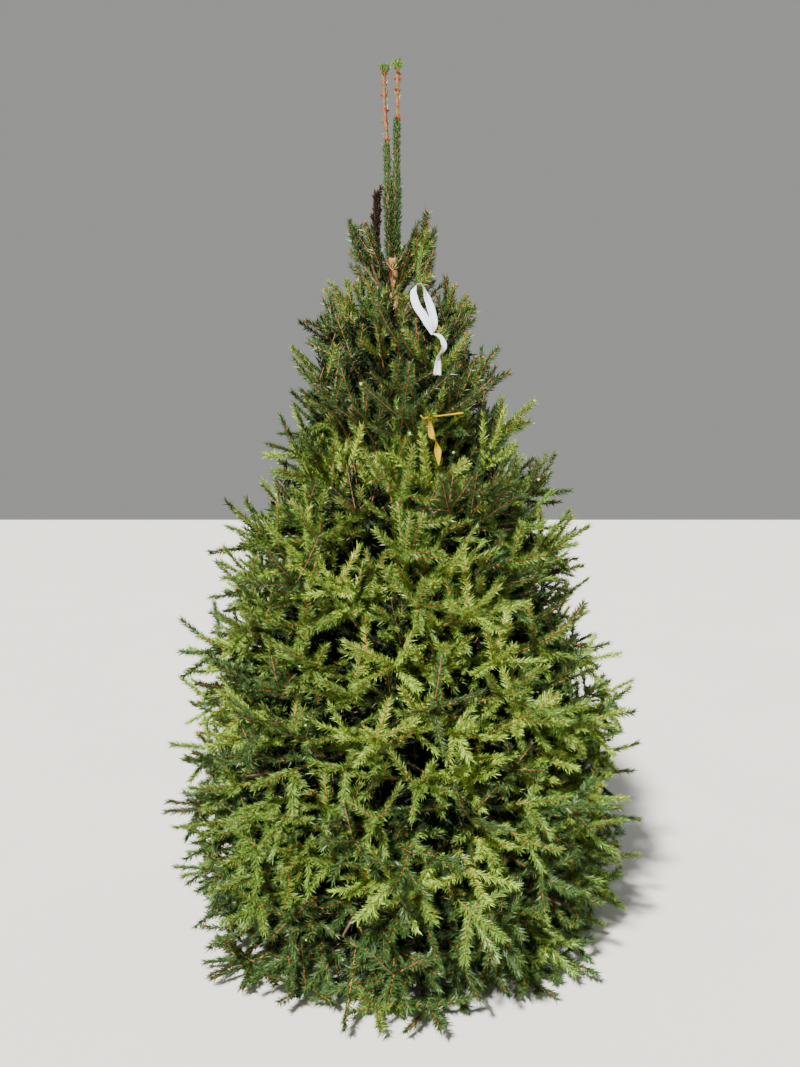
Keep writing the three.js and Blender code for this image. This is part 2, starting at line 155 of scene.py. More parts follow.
# One entry for each tier: its spring heights, its masses and the bearing of the first.
TIERS = [
    {"low": 0.145, "high": 0.430, "masses": 6, "turn": 0.26},
    {"low": 0.430, "high": 0.740, "masses": 6, "turn": 0.78},
    {"low": 0.740, "high": 1.080, "masses": 5, "turn": -1.57},
    {"low": 1.080, "high": 1.460, "masses": 5, "turn": 0.6},
    {"low": 1.460, "high": 1.940, "masses": 4, "turn": 0.5},
    {"low": 1.940, "high": 2.450, "masses": 3, "turn": 0.0},
]

# The two living leaders: feet and tips as seen from the front, how much of each the needles
# clothe, and how far up it its clusters of buds stand.
LEADERS = [
    {
        "foot": (-0.051, FORK_HEIGHT),
        "tip": (-0.075, 3.171),
        "needled": 0.6,
        "buds": (0.63, 0.72, 0.79, 0.86, 0.93, 0.97),
    },
    {
        "foot": (-0.033, FORK_HEIGHT),
        "tip": (-0.024, 3.185),
        "needled": 0.72,
        "buds": (0.55, 0.73, 0.87, 0.92, 0.96),
    },
]
LEADER_RADIUS = 0.008
LEADER_SWAY = 0.003
KNOT_HEIGHT = 0.0018
KNOT_SHARPNESS = 90
TUFT_LENGTH = 0.028

# The dead leader: places on its middle line as seen from the front, and its radius at each.
DEAD_LEADER = [(-0.041, 2.262), (-0.096, 2.357), (-0.106, 2.472), (-0.1, 2.7)]
DEAD_RADII = [0.009, 0.008, 0.007, 0.003]
DEAD_TWIGLETS = 9

# The tapes: places on each one's middle line, with its width there and its turn about that line.
RIBBON_LOOP = [
    (0.094, -0.320, 2.124, 0.010, 80),
    (0.092, -0.315, 2.134, 0.022, 50),
    (0.068, -0.300, 2.183, 0.027, 8),
    (0.042, -0.280, 2.227, 0.027, 5),
    (0.031, -0.260, 2.275, 0.026, 35),
    (0.041, -0.248, 2.303, 0.022, 80),
    (0.055, -0.242, 2.308, 0.022, 88),
    (0.067, -0.248, 2.296, 0.024, 75),
    (0.080, -0.265, 2.253, 0.027, 25),
    (0.093, -0.292, 2.205, 0.027, 10),
    (0.100, -0.315, 2.158, 0.026, 25),
    (0.095, -0.325, 2.126, 0.012, 70),
]
RIBBON_TAIL = [
    (0.094, -0.322, 2.126, 0.012, 60),
    (0.121, -0.332, 2.112, 0.018, 35),
    (0.132, -0.348, 2.078, 0.022, 30),
    (0.118, -0.356, 2.054, 0.024, 82),
    (0.112, -0.362, 2.028, 0.024, 40),
    (0.108, -0.370, 1.981, 0.027, 10),
]
TAG_STRIP = [
    (0.049, -0.520, 1.834, 0.005, 20),
    (0.060, -0.524, 1.824, 0.006, 60),
    (0.076, -0.526, 1.828, 0.006, 30),
    (0.122, -0.520, 1.834, 0.006, 50),
    (0.185, -0.510, 1.843, 0.006, 20),
]
TAG_TAIL = [
    (0.075, -0.526, 1.842, 0.012, 60),
    (0.076, -0.528, 1.823, 0.012, 70),
    (0.080, -0.530, 1.797, 0.018, 30),
    (0.084, -0.536, 1.770, 0.020, 10),
    (0.096, -0.538, 1.753, 0.016, 80),
    (0.103, -0.542, 1.719, 0.022, 5),
    (0.105, -0.550, 1.676, 0.003, 5),
]

# Where the two tapes hang free of the shoots, and where the trunk's top shows: a centre and how
# far round it is clear.
CLEARINGS = [
    (Vector((-0.035, -0.13, 2.45)), 0.085),
    (Vector((-0.035, -0.20, 2.37)), 0.090),
    (Vector((-0.030, -0.10, 2.52)), 0.070),
    (Vector((0.055, -0.34, 2.32)), 0.095),
    (Vector((0.085, -0.38, 2.20)), 0.095),
    (Vector((0.115, -0.42, 2.09)), 0.080),
    (Vector((0.085, -0.59, 1.85)), 0.060),
    (Vector((0.160, -0.58, 1.87)), 0.055),
    (Vector((0.095, -0.61, 1.74)), 0.058),
]

# The shoots that carry the tapes: the tier, where the twig starts, where the shoot starts, its tip.
CARRIERS = [
    (6, Vector((-0.02, -0.03, 2.12)), Vector((0.03, -0.13, 2.22)), Vector((0.055, -0.235, 2.29))),
    (5, Vector((0.0, -0.06, 1.67)), Vector((0.05, -0.38, 1.78)), Vector((0.08, -0.545, 1.838))),
]

# How the camera stands, from the photo's horizon and the size of the tree in it.
CAMERA_PLACE = Vector((-0.015, -3.05, 1.6))
CAMERA_DOWN = 3.1
CAMERA_LENS = 27.06
CAMERA_SENSOR = 36

# The stage: a wide floor and one main light, told by its size and by how far it stands from
# straight overhead and from straight in front.
FLOOR_HALF_SIZE = 40
SUN_SIZE = math.radians(5)
SUN_FROM_ABOVE = math.radians(44)
SUN_FROM_FRONT = math.radians(-29)
SUN_COLOUR = (1.0, 0.97, 0.9)


def srgb(red, green, blue):
    """A colour given as three screen values from 0 to 255, as linear light."""
    shares = (red / 255, green / 255, blue / 255)
    return tuple(c / 12.92 if c <= 0.04045 else ((c + 0.055) / 1.055) ** 2.4 for c in shares)


def mix(a, b, share):
    return a + (b - a) * share


# The crown's rule.

def trunk_lean(z):
    return TRUNK_LEAN * (z / FORK_HEIGHT) ** 2


def trunk_radius(z):
    """A straight taper, with the roots' flare near the ground."""
    taper = mix(TRUNK_FOOT_RADIUS, TRUNK_TOP_RADIUS, z / FORK_HEIGHT)
    return taper + FLARE_SPREAD * max(0, 1 - z / FLARE_HEIGHT) ** 2.4


def outline_radius(z):
    """How far the foliage's tips reach from the trunk at a height."""
    if z < WIDEST_HEIGHT:
        below = (WIDEST_HEIGHT - z) / WIDEST_HEIGHT
        return WIDEST_RADIUS * (1 - FOOT_TUCK * below * below)
    up = min(1, (z - WIDEST_HEIGHT) / (CROWN_TOP - WIDEST_HEIGHT))
    return WIDEST_RADIUS * (1 - up**OUTLINE_BULGE) ** OUTLINE_SHOULDER


def bough_rise(spring):
    """Rise for each metre outwards of a bough that springs from a height."""
    return RISE_AT_GROUND + RISE_PER_METRE * spring + RISE_CURVE * spring * spring


def place(out, bearing, spring):
    """The point that lies `out` from the trunk's axis on a bough of this bearing and spring."""
    z = spring + out * bough_rise(spring)
    return Vector((trunk_lean(z) + out * math.cos(bearing), out * math.sin(bearing), z))


def reach(spring):
    """How far out a bough of this spring height meets the crown's outline."""
    near, far = 0, WIDEST_RADIUS
    for _ in range(30):
        middle = (near + far) / 2
        if middle < outline_radius(spring + middle * bough_rise(spring)):
            near = middle
        else:
            far = middle
    return near


def crown_spaces(tier_number):
    """The spaces of one tier's masses, with where each stem starts and how far it reaches."""
    tier = TIERS[tier_number - 1]
    spring = (tier["low"] + tier["high"]) / 2
    out = reach(spring)
    has_bough = tier_number <= TIERS_WITH_BOUGHS
    return [
        {
            "tier": tier_number,
            "low": tier["low"],
            "high": tier["high"],
            "spring": spring,
            "reach": out,
            "bearing": tier["turn"] + i / tier["masses"] * FULL_TURN,
            "half": math.pi / tier["masses"],
            "stem_start": out * BOUGH_SHARE if has_bough else trunk_radius(spring),
            "stout": 1 - STOUTNESS_LOST * (tier_number - 1),
        }
        for i in range(tier["masses"])
    ]


def is_clear(point):
    return all((point - centre).length > size for centre, size in CLEARINGS)


def turned(ahead, aside, angle):
    """The direction at an angle from one direction towards another, square to it."""
    return ahead * math.cos(angle) + aside * math.sin(angle)


def trunk_root(bearing, z):
    """Where a shoot leaves the trunk, just inside its bark, and the level way outwards there."""
    out = Vector((math.cos(bearing), math.sin(bearing), 0))
    return Vector((trunk_lean(z), 0, z)) + out * trunk_radius(z) * 0.8, out


def square_to(along):
    """The level and the upper direction across a stem."""
    level = UP.cross(along).normalized()
    return level, along.cross(level)


# Growing shoots.

class Growth:
    """The shoots, twigs and buds of one tier, gathered before they become meshes.

    `height` says how high the tier stands, from 0 for the lowest to 1 for the topmost.
    """

    def __init__(self, crown, seed, height):
        self.crown = crown
        self.lift = mix(crown.low_lift, crown.high_lift, height)
        self.opening = mix(crown.fork_angle, crown.top_fork_angle, height**2)
        self.openness = mix(1, crown.top_openness, height**3)
        self.draw = random.Random(seed)
        self.shoots = []
        self.twigs = []
        self.buds = []

    def jitter(self, spread):
        return self.draw.uniform(-spread, spread)

    def fits(self, point, tone):
        """True if a point lies inside the crown's outline and clear of the ground.

        The shaded shoots inside keep well behind the outline.
        """
        out = math.hypot(point.x - trunk_lean(point.z), point.y)
        if not is_clear(point):
            return False
        if tone == INNER:
            limit = outline_radius(point.z) * self.crown.inner_reach
            return INNER_LOWEST < point.z < INNER_HIGHEST and out < limit
        limit = outline_radius(point.z) * self.crown.outline_slack
        above = point.z - FORK_HEIGHT + ROOM_UNDER_FORK
        if above < WIDE_ROOM:
            limit = max(limit, self.crown.top_spread)
        return point.z > self.crown.ground_clearance and above * CONE_SLOPE < out < limit

    def shoot(self, root, heading, upper, length, year, tone):
        """One year's growth, bent a little upwards; shortened to stay in the outline, or none.

        One that would end too near the ground is turned up to end just clear of it.
        """
        lowest = (self.crown.ground_clearance - root.z) / length
        if -0.9 < lowest and heading.z < lowest + 0.02:
            heading = Vector((heading.x, heading.y, lowest + 0.02)).normalized()
        across = upper.cross(heading)
        for share in (1, 0.8, 0.6):
            sway = UP * 0.07 + upper * self.jitter(0.09) + across * self.jitter(0.1)
            bend = sway * length * share
            along = heading * (length * share)
            tip = root + along + bend
            if self.fits(tip, tone) and is_clear(root.lerp(tip, 0.6)):
                self.shoots.append((root, along, bend, upper, length * share, year, tone))
                return tip, (along + bend * 2).normalized()
        return None

    def spray(self, root, heading, upper, length, years, tone):
        """Shoots that fork once for each year: one leading on, and others round its foot."""
        made = self.shoot(root, heading, upper, length, years, tone)
        if made is None:
            return
        tip, onward = made
        across = upper.cross(onward).normalized()
        over = onward.cross(across).normalized()
        if years == 0:
            if tone != INNER:
                self.buds.append((tip, onward))
            return
        self.spray(tip, self.leaning(onward, 0.12), over, length * LEADING_SHARE, years - 1, tone)
        turns = [0.0, math.pi]
        if self.draw.random() < self.crown.under_shoots:
            turns.append(-math.pi / 2)
        if self.draw.random() < self.crown.upper_shoots:
            turns.append(math.pi / 2)
        for turn in turns:
            around = turned(across, over, turn + self.jitter(0.5))
            aside = turned(onward, around, self.opening + self.jitter(0.2)).normalized()
            share = self.draw.uniform(*SIDE_SHARES)
            self.spray(tip, self.leaning(aside, 0.08), over, length * share, years - 1, tone)

    def leaning(self, heading, spread):
        """A heading a little off another one, drooping low down and rising near the top."""
        off = Vector((self.jitter(spread), self.jitter(spread), self.jitter(spread)))
        return (heading + off + UP * self.lift).normalized()


def grow_mass(growth, space):
    """One mass of foliage: its stem, the twigs that leave it, and their sprays."""
    crown = growth.crown
    draw = growth.draw
    face_top = place(space["reach"], 0, space["high"])
    face_foot = place(space["reach"], 0, space["low"])
    rows = max(3, round((face_top - face_foot).z / crown.row_spacing / growth.openness))
    higher = ((space["tier"] - 1) / (len(TIERS) - 1)) ** 1.5
    shoot_length = mix(crown.shoot_length, crown.top_shoot_length, higher)
    lowest = 0.5 / rows
    if space["tier"] == 1:
        rows += 1
        lowest = 0
    grow_stem_sides(growth, space)
    for row in range(rows):
        height = mix(lowest, 1 - 0.5 / rows, row / (rows - 1))
        spring_here = mix(space["low"], space["high"], height)
        width = 2 * space["half"] * reach(spring_here)
        columns = max(2, round(width / crown.twig_spacing / growth.openness))
        for column in range(columns):
            share = (column + 0.5 + growth.jitter(0.25) + (0.25 if row % 2 else -0.25)) / columns
            bearing_off = (share * 2 - 1) * space["half"]
            spring = spring_here + growth.jitter(0.3) * (space["high"] - space["low"]) / rows
            vigour = draw.uniform(0.82, 1.15) * shoot_length
            end = reach(spring) * draw.uniform(crown.shortest_reach, 1.0)
            grow_twig(growth, space, bearing_off, spring, end, vigour)


def grow_fork_whorl(growth):
    """Long shoots that rise steeply all round the fork."""
    draw = growth.draw
    count = growth.crown.whorl_shoots
    for k in range(count):
        bearing = FULL_TURN * (k + growth.jitter(0.3)) / count
        z = FORK_HEIGHT - draw.uniform(*WHORL_DEPTHS)
        root, out = trunk_root(bearing, z)
        heading = turned(out, UP, draw.uniform(*WHORL_SLOPES)).normalized()
        upper = heading.cross(UP.cross(heading)).normalized()
        forked = k % 3 == 0
        length = growth.crown.top_shoot_length * draw.uniform(0.8, 1.1) * (0.6 if forked else 1)
        growth.spray(root, heading, upper, length, int(forked), pick_tone(draw, growth.crown, z))


def grow_carrier(growth, start, root, tip):
    """A shoot that carries a tape, with the twig it grows from."""
    shares = [i / TWIG_STEPS for i in range(TWIG_STEPS + 1)]
    points = [start.lerp(root, share) for share in shares]
    radii = [mix(CARRIER_RADIUS, CARRIER_END_RADIUS, share) for share in shares]
    growth.twigs.append((points, radii))
    along = tip - root
    upper = along.cross(UP.cross(along)).normalized()
    growth.shoots.append((root, along, Vector(), upper, along.length, 0, MIDDLE))


def grow_stem_sides(growth, space):
    """Dark shoots along a mass's stem, which close the inside of the crown."""
    crown = growth.crown
    start, end = space["reach"] * 0.2, space["reach"] * 0.75
    count = 2 + round((end - start) / crown.stem_shoot_spacing)
    points = [
        place(mix(start, end, i / count), space["bearing"], space["spring"])
        for i in range(count + 1)
    ]
    for k in range(1, count + 1):
        along = (points[k] - points[k - 1]).normalized()
        level, over = square_to(along)
        for side in range(ROUND_STEM):
            around = turned(level, over, side * FULL_TURN / ROUND_STEM + growth.jitter(0.6))
            heading = along * 0.5 + around * 0.85
            length = growth.draw.uniform(*STEM_SIDE_LENGTHS)
            growth.spray(points[k], growth.leaning(heading, 0.2), over, length, 0, INNER)


def grow_trunk_sides(growth, tier):
    """Dark shoots that stand out from the trunk all the way up one tier."""
    rows = round((tier["high"] - tier["low"]) / growth.crown.stem_shoot_spacing)
    for row in range(rows):
        z = mix(tier["low"], tier["high"], row / rows)
        for side in range(ROUND_TRUNK):
            bearing = FULL_TURN * (side + growth.draw.random()) / ROUND_TRUNK
            root, out = trunk_root(bearing, z)
            heading = growth.leaning(out + UP * 0.2, 0.3)
            length = growth.draw.uniform(*TRUNK_SIDE_LENGTHS)
            growth.spray(root, heading, UP.cross(out), length, 0, INNER)


def grow_twig(growth, space, bearing_off, spring, end, vigour):
    """A twig from the stem out to a place on the outer face, with side shoots and its spray.

    It stops short of that place by the room that its spray takes up.
    """
    crown = growth.crown
    slant = math.hypot(1, bough_rise(space["spring"]))
    last = max(end - SPRAY_REACH * vigour / slant, end * 0.35)
    aside = abs(bearing_off) * last + abs(spring - space["spring"])
    first = max(space["stem_start"] * 0.9, last - 1.25 * aside - 0.04)
    first = min(first, last - 0.03)
    points, radii = [], []
    for step in range(TWIG_STEPS + 1):
        share = step / TWIG_STEPS
        ease = 1 - (1 - share) ** 2
        bearing = space["bearing"] + bearing_off * ease
        points.append(place(mix(first, last, share), bearing, mix(space["spring"], spring, ease)))
        radii.append(mix(TWIG_RADIUS * space["stout"], TWIG_END_RADIUS, share))
    growth.twigs.append((points, radii))
    heading = growth.leaning((points[-1] - points[-2]).normalized(), crown.twig_waywardness)
    _, over = square_to(heading)
    roll = growth.jitter(crown.spray_roll)
    rolled = Matrix.Rotation(roll, 3, heading) @ over.normalized()
    tone = pick_tone(growth.draw, crown, points[-1].z)
    growth.spray(points[-1], heading, rolled, vigour, 1, tone)
    grow_sides(growth, points, vigour, tone)


def grow_sides(growth, points, vigour, tone):
    """Side shoots along a twig: a forked pair at its end, and darker ones further in."""
    crown, draw = growth.crown, growth.draw
    last = len(points) - 1
    for k in range(1, last + 1):
        along = (points[k] - points[k - 1]).normalized()
        level, over = square_to(along)
        sides = 2 if k == last else 4 if k < last - 1 else 5
        for side in range(sides):
            around = turned(level, over, FULL_TURN * side / sides + growth.jitter(0.6))
            heading = turned(along, around, SIDE_OPENING + growth.jitter(0.25))
            if k == last:
                length = vigour * draw.uniform(0.6, 0.9)
                growth.spray(points[k], growth.leaning(heading, 0.1), over, length, 1, tone)
            elif draw.random() > mix(crown.bare_share, 0.1, k / last):
                length = vigour * draw.uniform(0.7, 1.1)
                growth.spray(points[k], growth.leaning(heading, 0.15), over, length, 0, INNER)


def pick_tone(draw, crown, z):
    """A spray's green, of which the deepest is commonest near the ground and near the top, as
    painted shade.
    """
    near_top = (z / FORK_HEIGHT) ** 3
    near_ground = max(0, 1 - z / PAINTED_SHADE_BELOW)
    # Painted shade: the roll is pushed towards the deepest green near the top and near the ground.
    roll = draw.random() + PAINTED_SHADE_AT_TOP * near_top + PAINTED_SHADE_AT_GROUND * near_ground
    if roll < crown.light_share:
        return LIGHT
    return MIDDLE if roll < crown.light_share + crown.middle_share else DEEP


# Turning growth into meshes.

def unit(vectors):
    return vectors / np.maximum(np.linalg.norm(vectors, axis=1, keepdims=True), 1e-9)


def ring_triangles(low, high):
    """Triangles between rings of corners and the next ones, told by the corners' numbers."""
    low_next, high_next = np.roll(low, -1, axis=-1), np.roll(high, -1, axis=-1)
    halves = ([low, low_next, high], [low_next, high_next, high])
    return np.concatenate([np.stack(half, -1).reshape(-1, 3) for half in halves])


def roughened(corners, points, sides, relief, scale):
    """A tube's corners, moved in and out by an uneven share of its radius."""
    axis = np.repeat(np.array(points, float).reshape(-1, 3), sides, axis=0)
    swell = np.array([noise.fractal(Vector(c) * scale, 1.0, 2.0, 3) for c in corners])
    return corners + (corners - axis) * (swell * relief)[:, None]


def needle_mesh(shoots, needles, seed, faces):
    """Needles round shoots: corners, triangles and the tone of each triangle.

    `shoots` is a dictionary of arrays, one row for each shoot. A needle's root sits in the bark and
    its flat side may face any way. With two faces, as on the leaders, it is a slender blade, and
    with one face, as in the crown where the count is highest, it is a spike.
    """
    rng = np.random.default_rng(seed)
    counts = shoots["count"].astype(int)
    owner = np.repeat(np.arange(len(counts)), counts)
    order = np.arange(len(owner)) - np.repeat(np.cumsum(counts) - counts, counts)
    total = len(owner)
    on = chosen(shoots, owner)

    share = (order + rng.uniform(0.1, 0.9, total)) / counts[owner]
    place_along = on["first"] + (on["last"] - on["first"]) * share
    t = place_along[:, None]
    root = on["root"] + on["along"] * t + on["bend"] * t**2
    tangent = unit(on["along"] + 2 * on["bend"] * t)
    side = unit(np.cross(on["upper"], tangent))
    over = np.cross(tangent, side)

    angle = (order * GOLDEN_ANGLE + rng.uniform(-0.5, 0.5, total)) % FULL_TURN - math.pi
    below = (np.abs(angle) > needles.parting) & (rng.random(total) < on["parted"])
    combed = np.sign(angle) * rng.uniform(1.1, needles.parting, total)
    angle = np.where(below, combed, angle)
    outwards = over * np.cos(angle)[:, None] + side * np.sin(angle)[:, None]

    near_tip = np.clip((place_along - 0.85) / 0.15, 0, 1)
    laid = mix(needles.laid_down, 1, np.clip(np.abs(angle) / 1.3, 0, 1))
    laid = np.where(on["parted"] > 0, laid, 1)
    lean = on["lean"] * laid * (1 - 0.4 * near_tip) + rng.normal(0, 0.13, total)
    heading = tangent * np.cos(lean)[:, None] + outwards * np.sin(lean)[:, None]
    flat = tangent * np.sin(lean)[:, None] - outwards * np.cos(lean)[:, None]
    twist = rng.uniform(-1.5, 1.5, total)[:, None]
    broad = flat * np.cos(twist) + np.cross(heading, flat) * np.sin(twist)
    facing = np.cross(heading, broad)

    length = (on["needle"] * rng.uniform(0.82, 1.12, total))[:, None]
    half = (on["width"] / 2)[:, None]
    foot = root + outwards * (on["radius"] * 0.8)[:, None]
    tip = foot + heading * length
    if faces == 1:
        corners = [foot - broad * half, foot + broad * half, tip]
        pattern = [0, 1, 2]
    else:
        end = broad * half * 0.45
        fold = facing * half * 0.4
        corners = [foot - broad * half, foot + broad * half + fold, tip + end, tip - end + fold]
        pattern = [0, 1, 2, 0, 2, 3]
    base = np.arange(total)[:, None] * len(corners)
    triangles = (base + pattern).reshape(-1, 3)
    corners = np.stack(corners, axis=1).reshape(-1, 3)
    return corners, triangles, np.repeat(on["tone"], faces)


def tube_mesh(points, radii, sides):
    """Open tapering tubes: `points` holds (tubes, rings, 3) and `radii` (tubes, rings)."""
    points = np.asarray(points, float)
    radii = np.asarray(radii, float)
    tubes, rings = radii.shape
    along = np.gradient(points, axis=1)
    along /= np.maximum(np.linalg.norm(along, axis=2, keepdims=True), 1e-9)
    level = np.cross((0.0, 0.0, 1.0), along[:, 0])
    upright = np.linalg.norm(level, axis=1) < 1e-3
    level[upright] = (1.0, 0.0, 0.0)
    level = level[:, None] - along * np.sum(along * level[:, None], axis=2, keepdims=True)
    level /= np.linalg.norm(level, axis=2, keepdims=True)
    over = np.cross(along, level)
    angles = np.arange(sides) / sides * FULL_TURN
    circle = (
        level[:, :, None] * np.cos(angles)[:, None] + over[:, :, None] * np.sin(angles)[:, None]
    )
    corners = points[:, :, None] + circle * radii[:, :, None, None]
    index = np.arange(tubes * rings * sides).reshape(tubes, rings, sides)
    return corners.reshape(-1, 3), ring_triangles(index[:, :-1], index[:, 1:])


def tape_mesh(stations, thickness, columns=6, steps=8):
    """A thin closed strip, creased across, on a smooth curve through its stations.

    A station is (x, y, z, width, turn in degrees).
    """
    knots = np.array(stations, float)
    padded = np.vstack([2 * knots[0] - knots[1], knots, 2 * knots[-1] - knots[-2]])
    rows = []
    for k in range(len(knots) - 1):
        a, b, c, d = padded[k : k + 4]
        is_last = k == len(knots) - 2
        for step in range(steps + is_last):
            t = step / steps
            bow = (2 * a - 5 * b + 4 * c - d) * t**2
            rows.append(0.5 * (2 * b + (c - a) * t + bow + (3 * b - a - 3 * c + d) * t**3))
    rows = np.array(rows)
    middle, width, turn = rows[:, :3], rows[:, 3:4], np.radians(rows[:, 4:5])
    along = unit(np.gradient(middle, axis=0))
    across = unit(np.cross(along, (0.0, -1.0, 0.0)))
    towards = np.cross(across, along)
    broad = across * np.cos(turn) + towards * np.sin(turn)
    normal = np.cross(along, broad)
    grid = []
    for side in (0.5, -0.5):
        for column in range(columns + 1):
            share = column / columns * 2 - 1
            crease = 0.05 * math.cos(3 * share) + 0.03 * np.sin(np.arange(len(rows)) * 0.9 + share)
            lift = width * np.reshape(crease, (-1, 1)) + side * thickness
            grid.append(middle + broad * width / 2 * share + normal * lift)
    order = grid[: columns + 1] + grid[columns + 1 :][::-1]
    corners = np.stack(order, axis=1)
    count, around = corners.shape[:2]
    index = np.arange(count * around).reshape(count, around)
    triangles = [ring_triangles(index[:-1], index[1:])]
    for ring, flip in ((index[0], False), (index[-1], True)):
        for j in range(columns):
            quad = [ring[j], ring[j + 1], ring[around - 2 - j], ring[around - 1 - j]]
            quad = quad[::-1] if flip else quad
            triangles.append(np.array([[quad[0], quad[2], quad[1]], [quad[0], quad[3], quad[2]]]))
    return corners.reshape(-1, 3), np.concatenate(triangles)


def bud_mesh(buds):
    """Buds as small grains of eight faces, from rows of (root, heading, length, width)."""
    roots, heading, length, width = (np.array(column, float) for column in zip(*buds))
    heading = unit(heading)
    length = length[:, None]
    half = width[:, None] / 2
    helper = np.where(np.abs(heading[:, 2:]) > 0.9, (1.0, 0.0, 0.0), (0.0, 0.0, 1.0))
    side = unit(np.cross(helper, heading))
    over = np.cross(heading, side)
    middle = roots + heading * length * 0.4
    corners = np.stack(
        [
            roots - heading * length * 0.15,
            middle + side * half,
            middle + over * half,
            middle - side * half,
            middle - over * half,
            roots + heading * length,
        ],
        axis=1,
    ).reshape(-1, 3)
    faces = [[0, 2, 1], [0, 3, 2], [0, 4, 3], [0, 1, 4], [5, 1, 2], [5, 2, 3], [5, 3, 4], [5, 4, 1]]
    base = np.arange(len(roots))[:, None, None] * 6
    return corners, (base + np.array(faces)).reshape(-1, 3)


def chosen(arrays, which):
    """The same arrays with only the chosen rows."""
    return {key: values[which] for key, values in arrays.items()}


def merged(rows):
    """One dictionary of arrays from several."""
    return {key: np.concatenate([row[key] for row in rows]) for key in rows[0]}


def joined(parts):
    """One set of corners and triangles from several."""
    corners, triangles, held = [], [], 0
    for some_corners, some_triangles in parts:
        corners.append(some_corners)
        triangles.append(some_triangles + held)
        held += len(some_corners)
    return np.concatenate(corners), np.concatenate(triangles)


def make_piece(name, corners, triangles, materials, tones=None, smooth=False):
    """A mesh object, made from arrays, that rides with the tree."""
    mesh = bpy.data.meshes.new(name)
    mesh.vertices.add(len(corners))
    mesh.vertices.foreach_set("co", np.asarray(corners, np.float32).ravel())
    mesh.loops.add(triangles.size)
    mesh.loops.foreach_set("vertex_index", triangles.astype(np.int32).ravel())
    mesh.polygons.add(len(triangles))
    mesh.polygons.foreach_set("loop_start", np.arange(0, triangles.size, 3, dtype=np.int32))
    for material in materials:
        mesh.materials.append(material)
    if tones is not None:
        mesh.polygons.foreach_set("material_index", np.asarray(tones, np.int32))
    mesh.update(calc_edges=True)
    if smooth:
        mesh.shade_smooth()
    else:
        mesh.shade_flat()
    piece = bpy.data.objects.new(name, mesh)
    bpy.context.scene.collection.objects.link(piece)
    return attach(piece, "root")


# Materials.

def new_material(name, roughness, specular):
    """A material with a principled surface, its tree and that surface's node."""
    material = bpy.data.materials.new(name)
    material.use_nodes = True
    tree = material.node_tree
    surface = tree.nodes["Principled BSDF"]
    surface.inputs["Roughness"].default_value = roughness
    surface.inputs["Specular IOR Level"].default_value = specular
    return material, tree, surface


def add_mottle(tree, surface, colours, scale, detail=3.0):
    """Colour that wanders between stops by a noise in the object's own space."""
    where = tree.nodes.new("ShaderNodeTexCoord")
    cloud = tree.nodes.new("ShaderNodeTexNoise")
    cloud.inputs["Scale"].default_value = scale
    cloud.inputs["Detail"].default_value = detail
    ramp = tree.nodes.new("ShaderNodeValToRGB")
    stops = ramp.color_ramp.elements
    while len(stops) < len(colours):
        stops.new(0.5)
    for i, colour in enumerate(colours):
        stops[i].position = mix(0.3, 0.7, i / (len(colours) - 1))
        stops[i].color = (*colour, 1)
    tree.links.new(where.outputs["Object"], cloud.inputs["Vector"])
    tree.links.new(cloud.outputs["Fac"], ramp.inputs["Fac"])
    tree.links.new(ramp.outputs["Color"], surface.inputs["Base Color"])
    return where, cloud


def add_bump(tree, surface, source, strength, distance):
    """Relief in the surface's shading, from a node's output."""
    bump = tree.nodes.new("ShaderNodeBump")
    bump.inputs["Strength"].default_value = strength
    bump.inputs["Distance"].default_value = distance
    tree.links.new(source, bump.inputs["Height"])
    tree.links.new(bump.outputs["Normal"], surface.inputs["Normal"])


def shaded(colour, factor):
    """A colour made darker, or lighter where the factor is over 1."""
    return tuple(min(1, c * factor) for c in colour)


def needle_material(name, colour, roughness=0.42, specular=0.4):
    """Green that wanders a little in lightness, with the low gloss of needles. The wander is partly
    the needles' own uneven tone and partly painted highlights and painted shade from needle to
    needle.
    """
    material, tree, surface = new_material(name, roughness, specular)
    # Painted highlights and shade: the lightest and darkest stops reach well past the needles' own
    # range.
    colours = [shaded(colour, 0.22), colour, shaded(colour, 2.6)]
    add_mottle(tree, surface, colours, scale=210.0, detail=4.0)
    return material


def wood_material(name, colour, roughness=0.7):
    """Young bark: warm, with fine darker flecks and a little relief."""
    material, tree, surface = new_material(name, roughness, specular=0.25)
    colours = [shaded(colour, 0.55), colour, shaded(colour, 1.3)]
    _, cloud = add_mottle(tree, surface, colours, scale=90.0)
    add_bump(tree, surface, cloud.outputs["Fac"], strength=0.4, distance=0.0006)
    return material


def bark_material(name, colours):
    """Old bark: thin grey-brown scales with darker seams between them."""
    material, tree, surface = new_material(name, roughness=0.88, specular=0.2)
    where, _ = add_mottle(tree, surface, colours, scale=26.0, detail=6.0)
    scales = tree.nodes.new("ShaderNodeTexVoronoi")
    scales.feature = "DISTANCE_TO_EDGE"
    scales.inputs["Scale"].default_value = 85.0
    tree.links.new(where.outputs["Object"], scales.inputs["Vector"])
    add_bump(tree, surface, scales.outputs["Distance"], strength=0.7, distance=0.002)
    return material


def film_material(name, colour, roughness):
    """Thin marking tape: even plastic with faint creases."""
    material, tree, surface = new_material(name, roughness, specular=0.22)
    _, cloud = add_mottle(tree, surface, [shaded(colour, 0.9), colour], scale=38.0)
    add_bump(tree, surface, cloud.outputs["Fac"], strength=0.35, distance=0.001)
    return material


# Settings.

SHARE = {"min": 0.0, "max": 1.0, "subtype": "FACTOR"}
COLOUR = {"min": 0.0, "max": 1.0, "subtype": "COLOR", "size": 3}


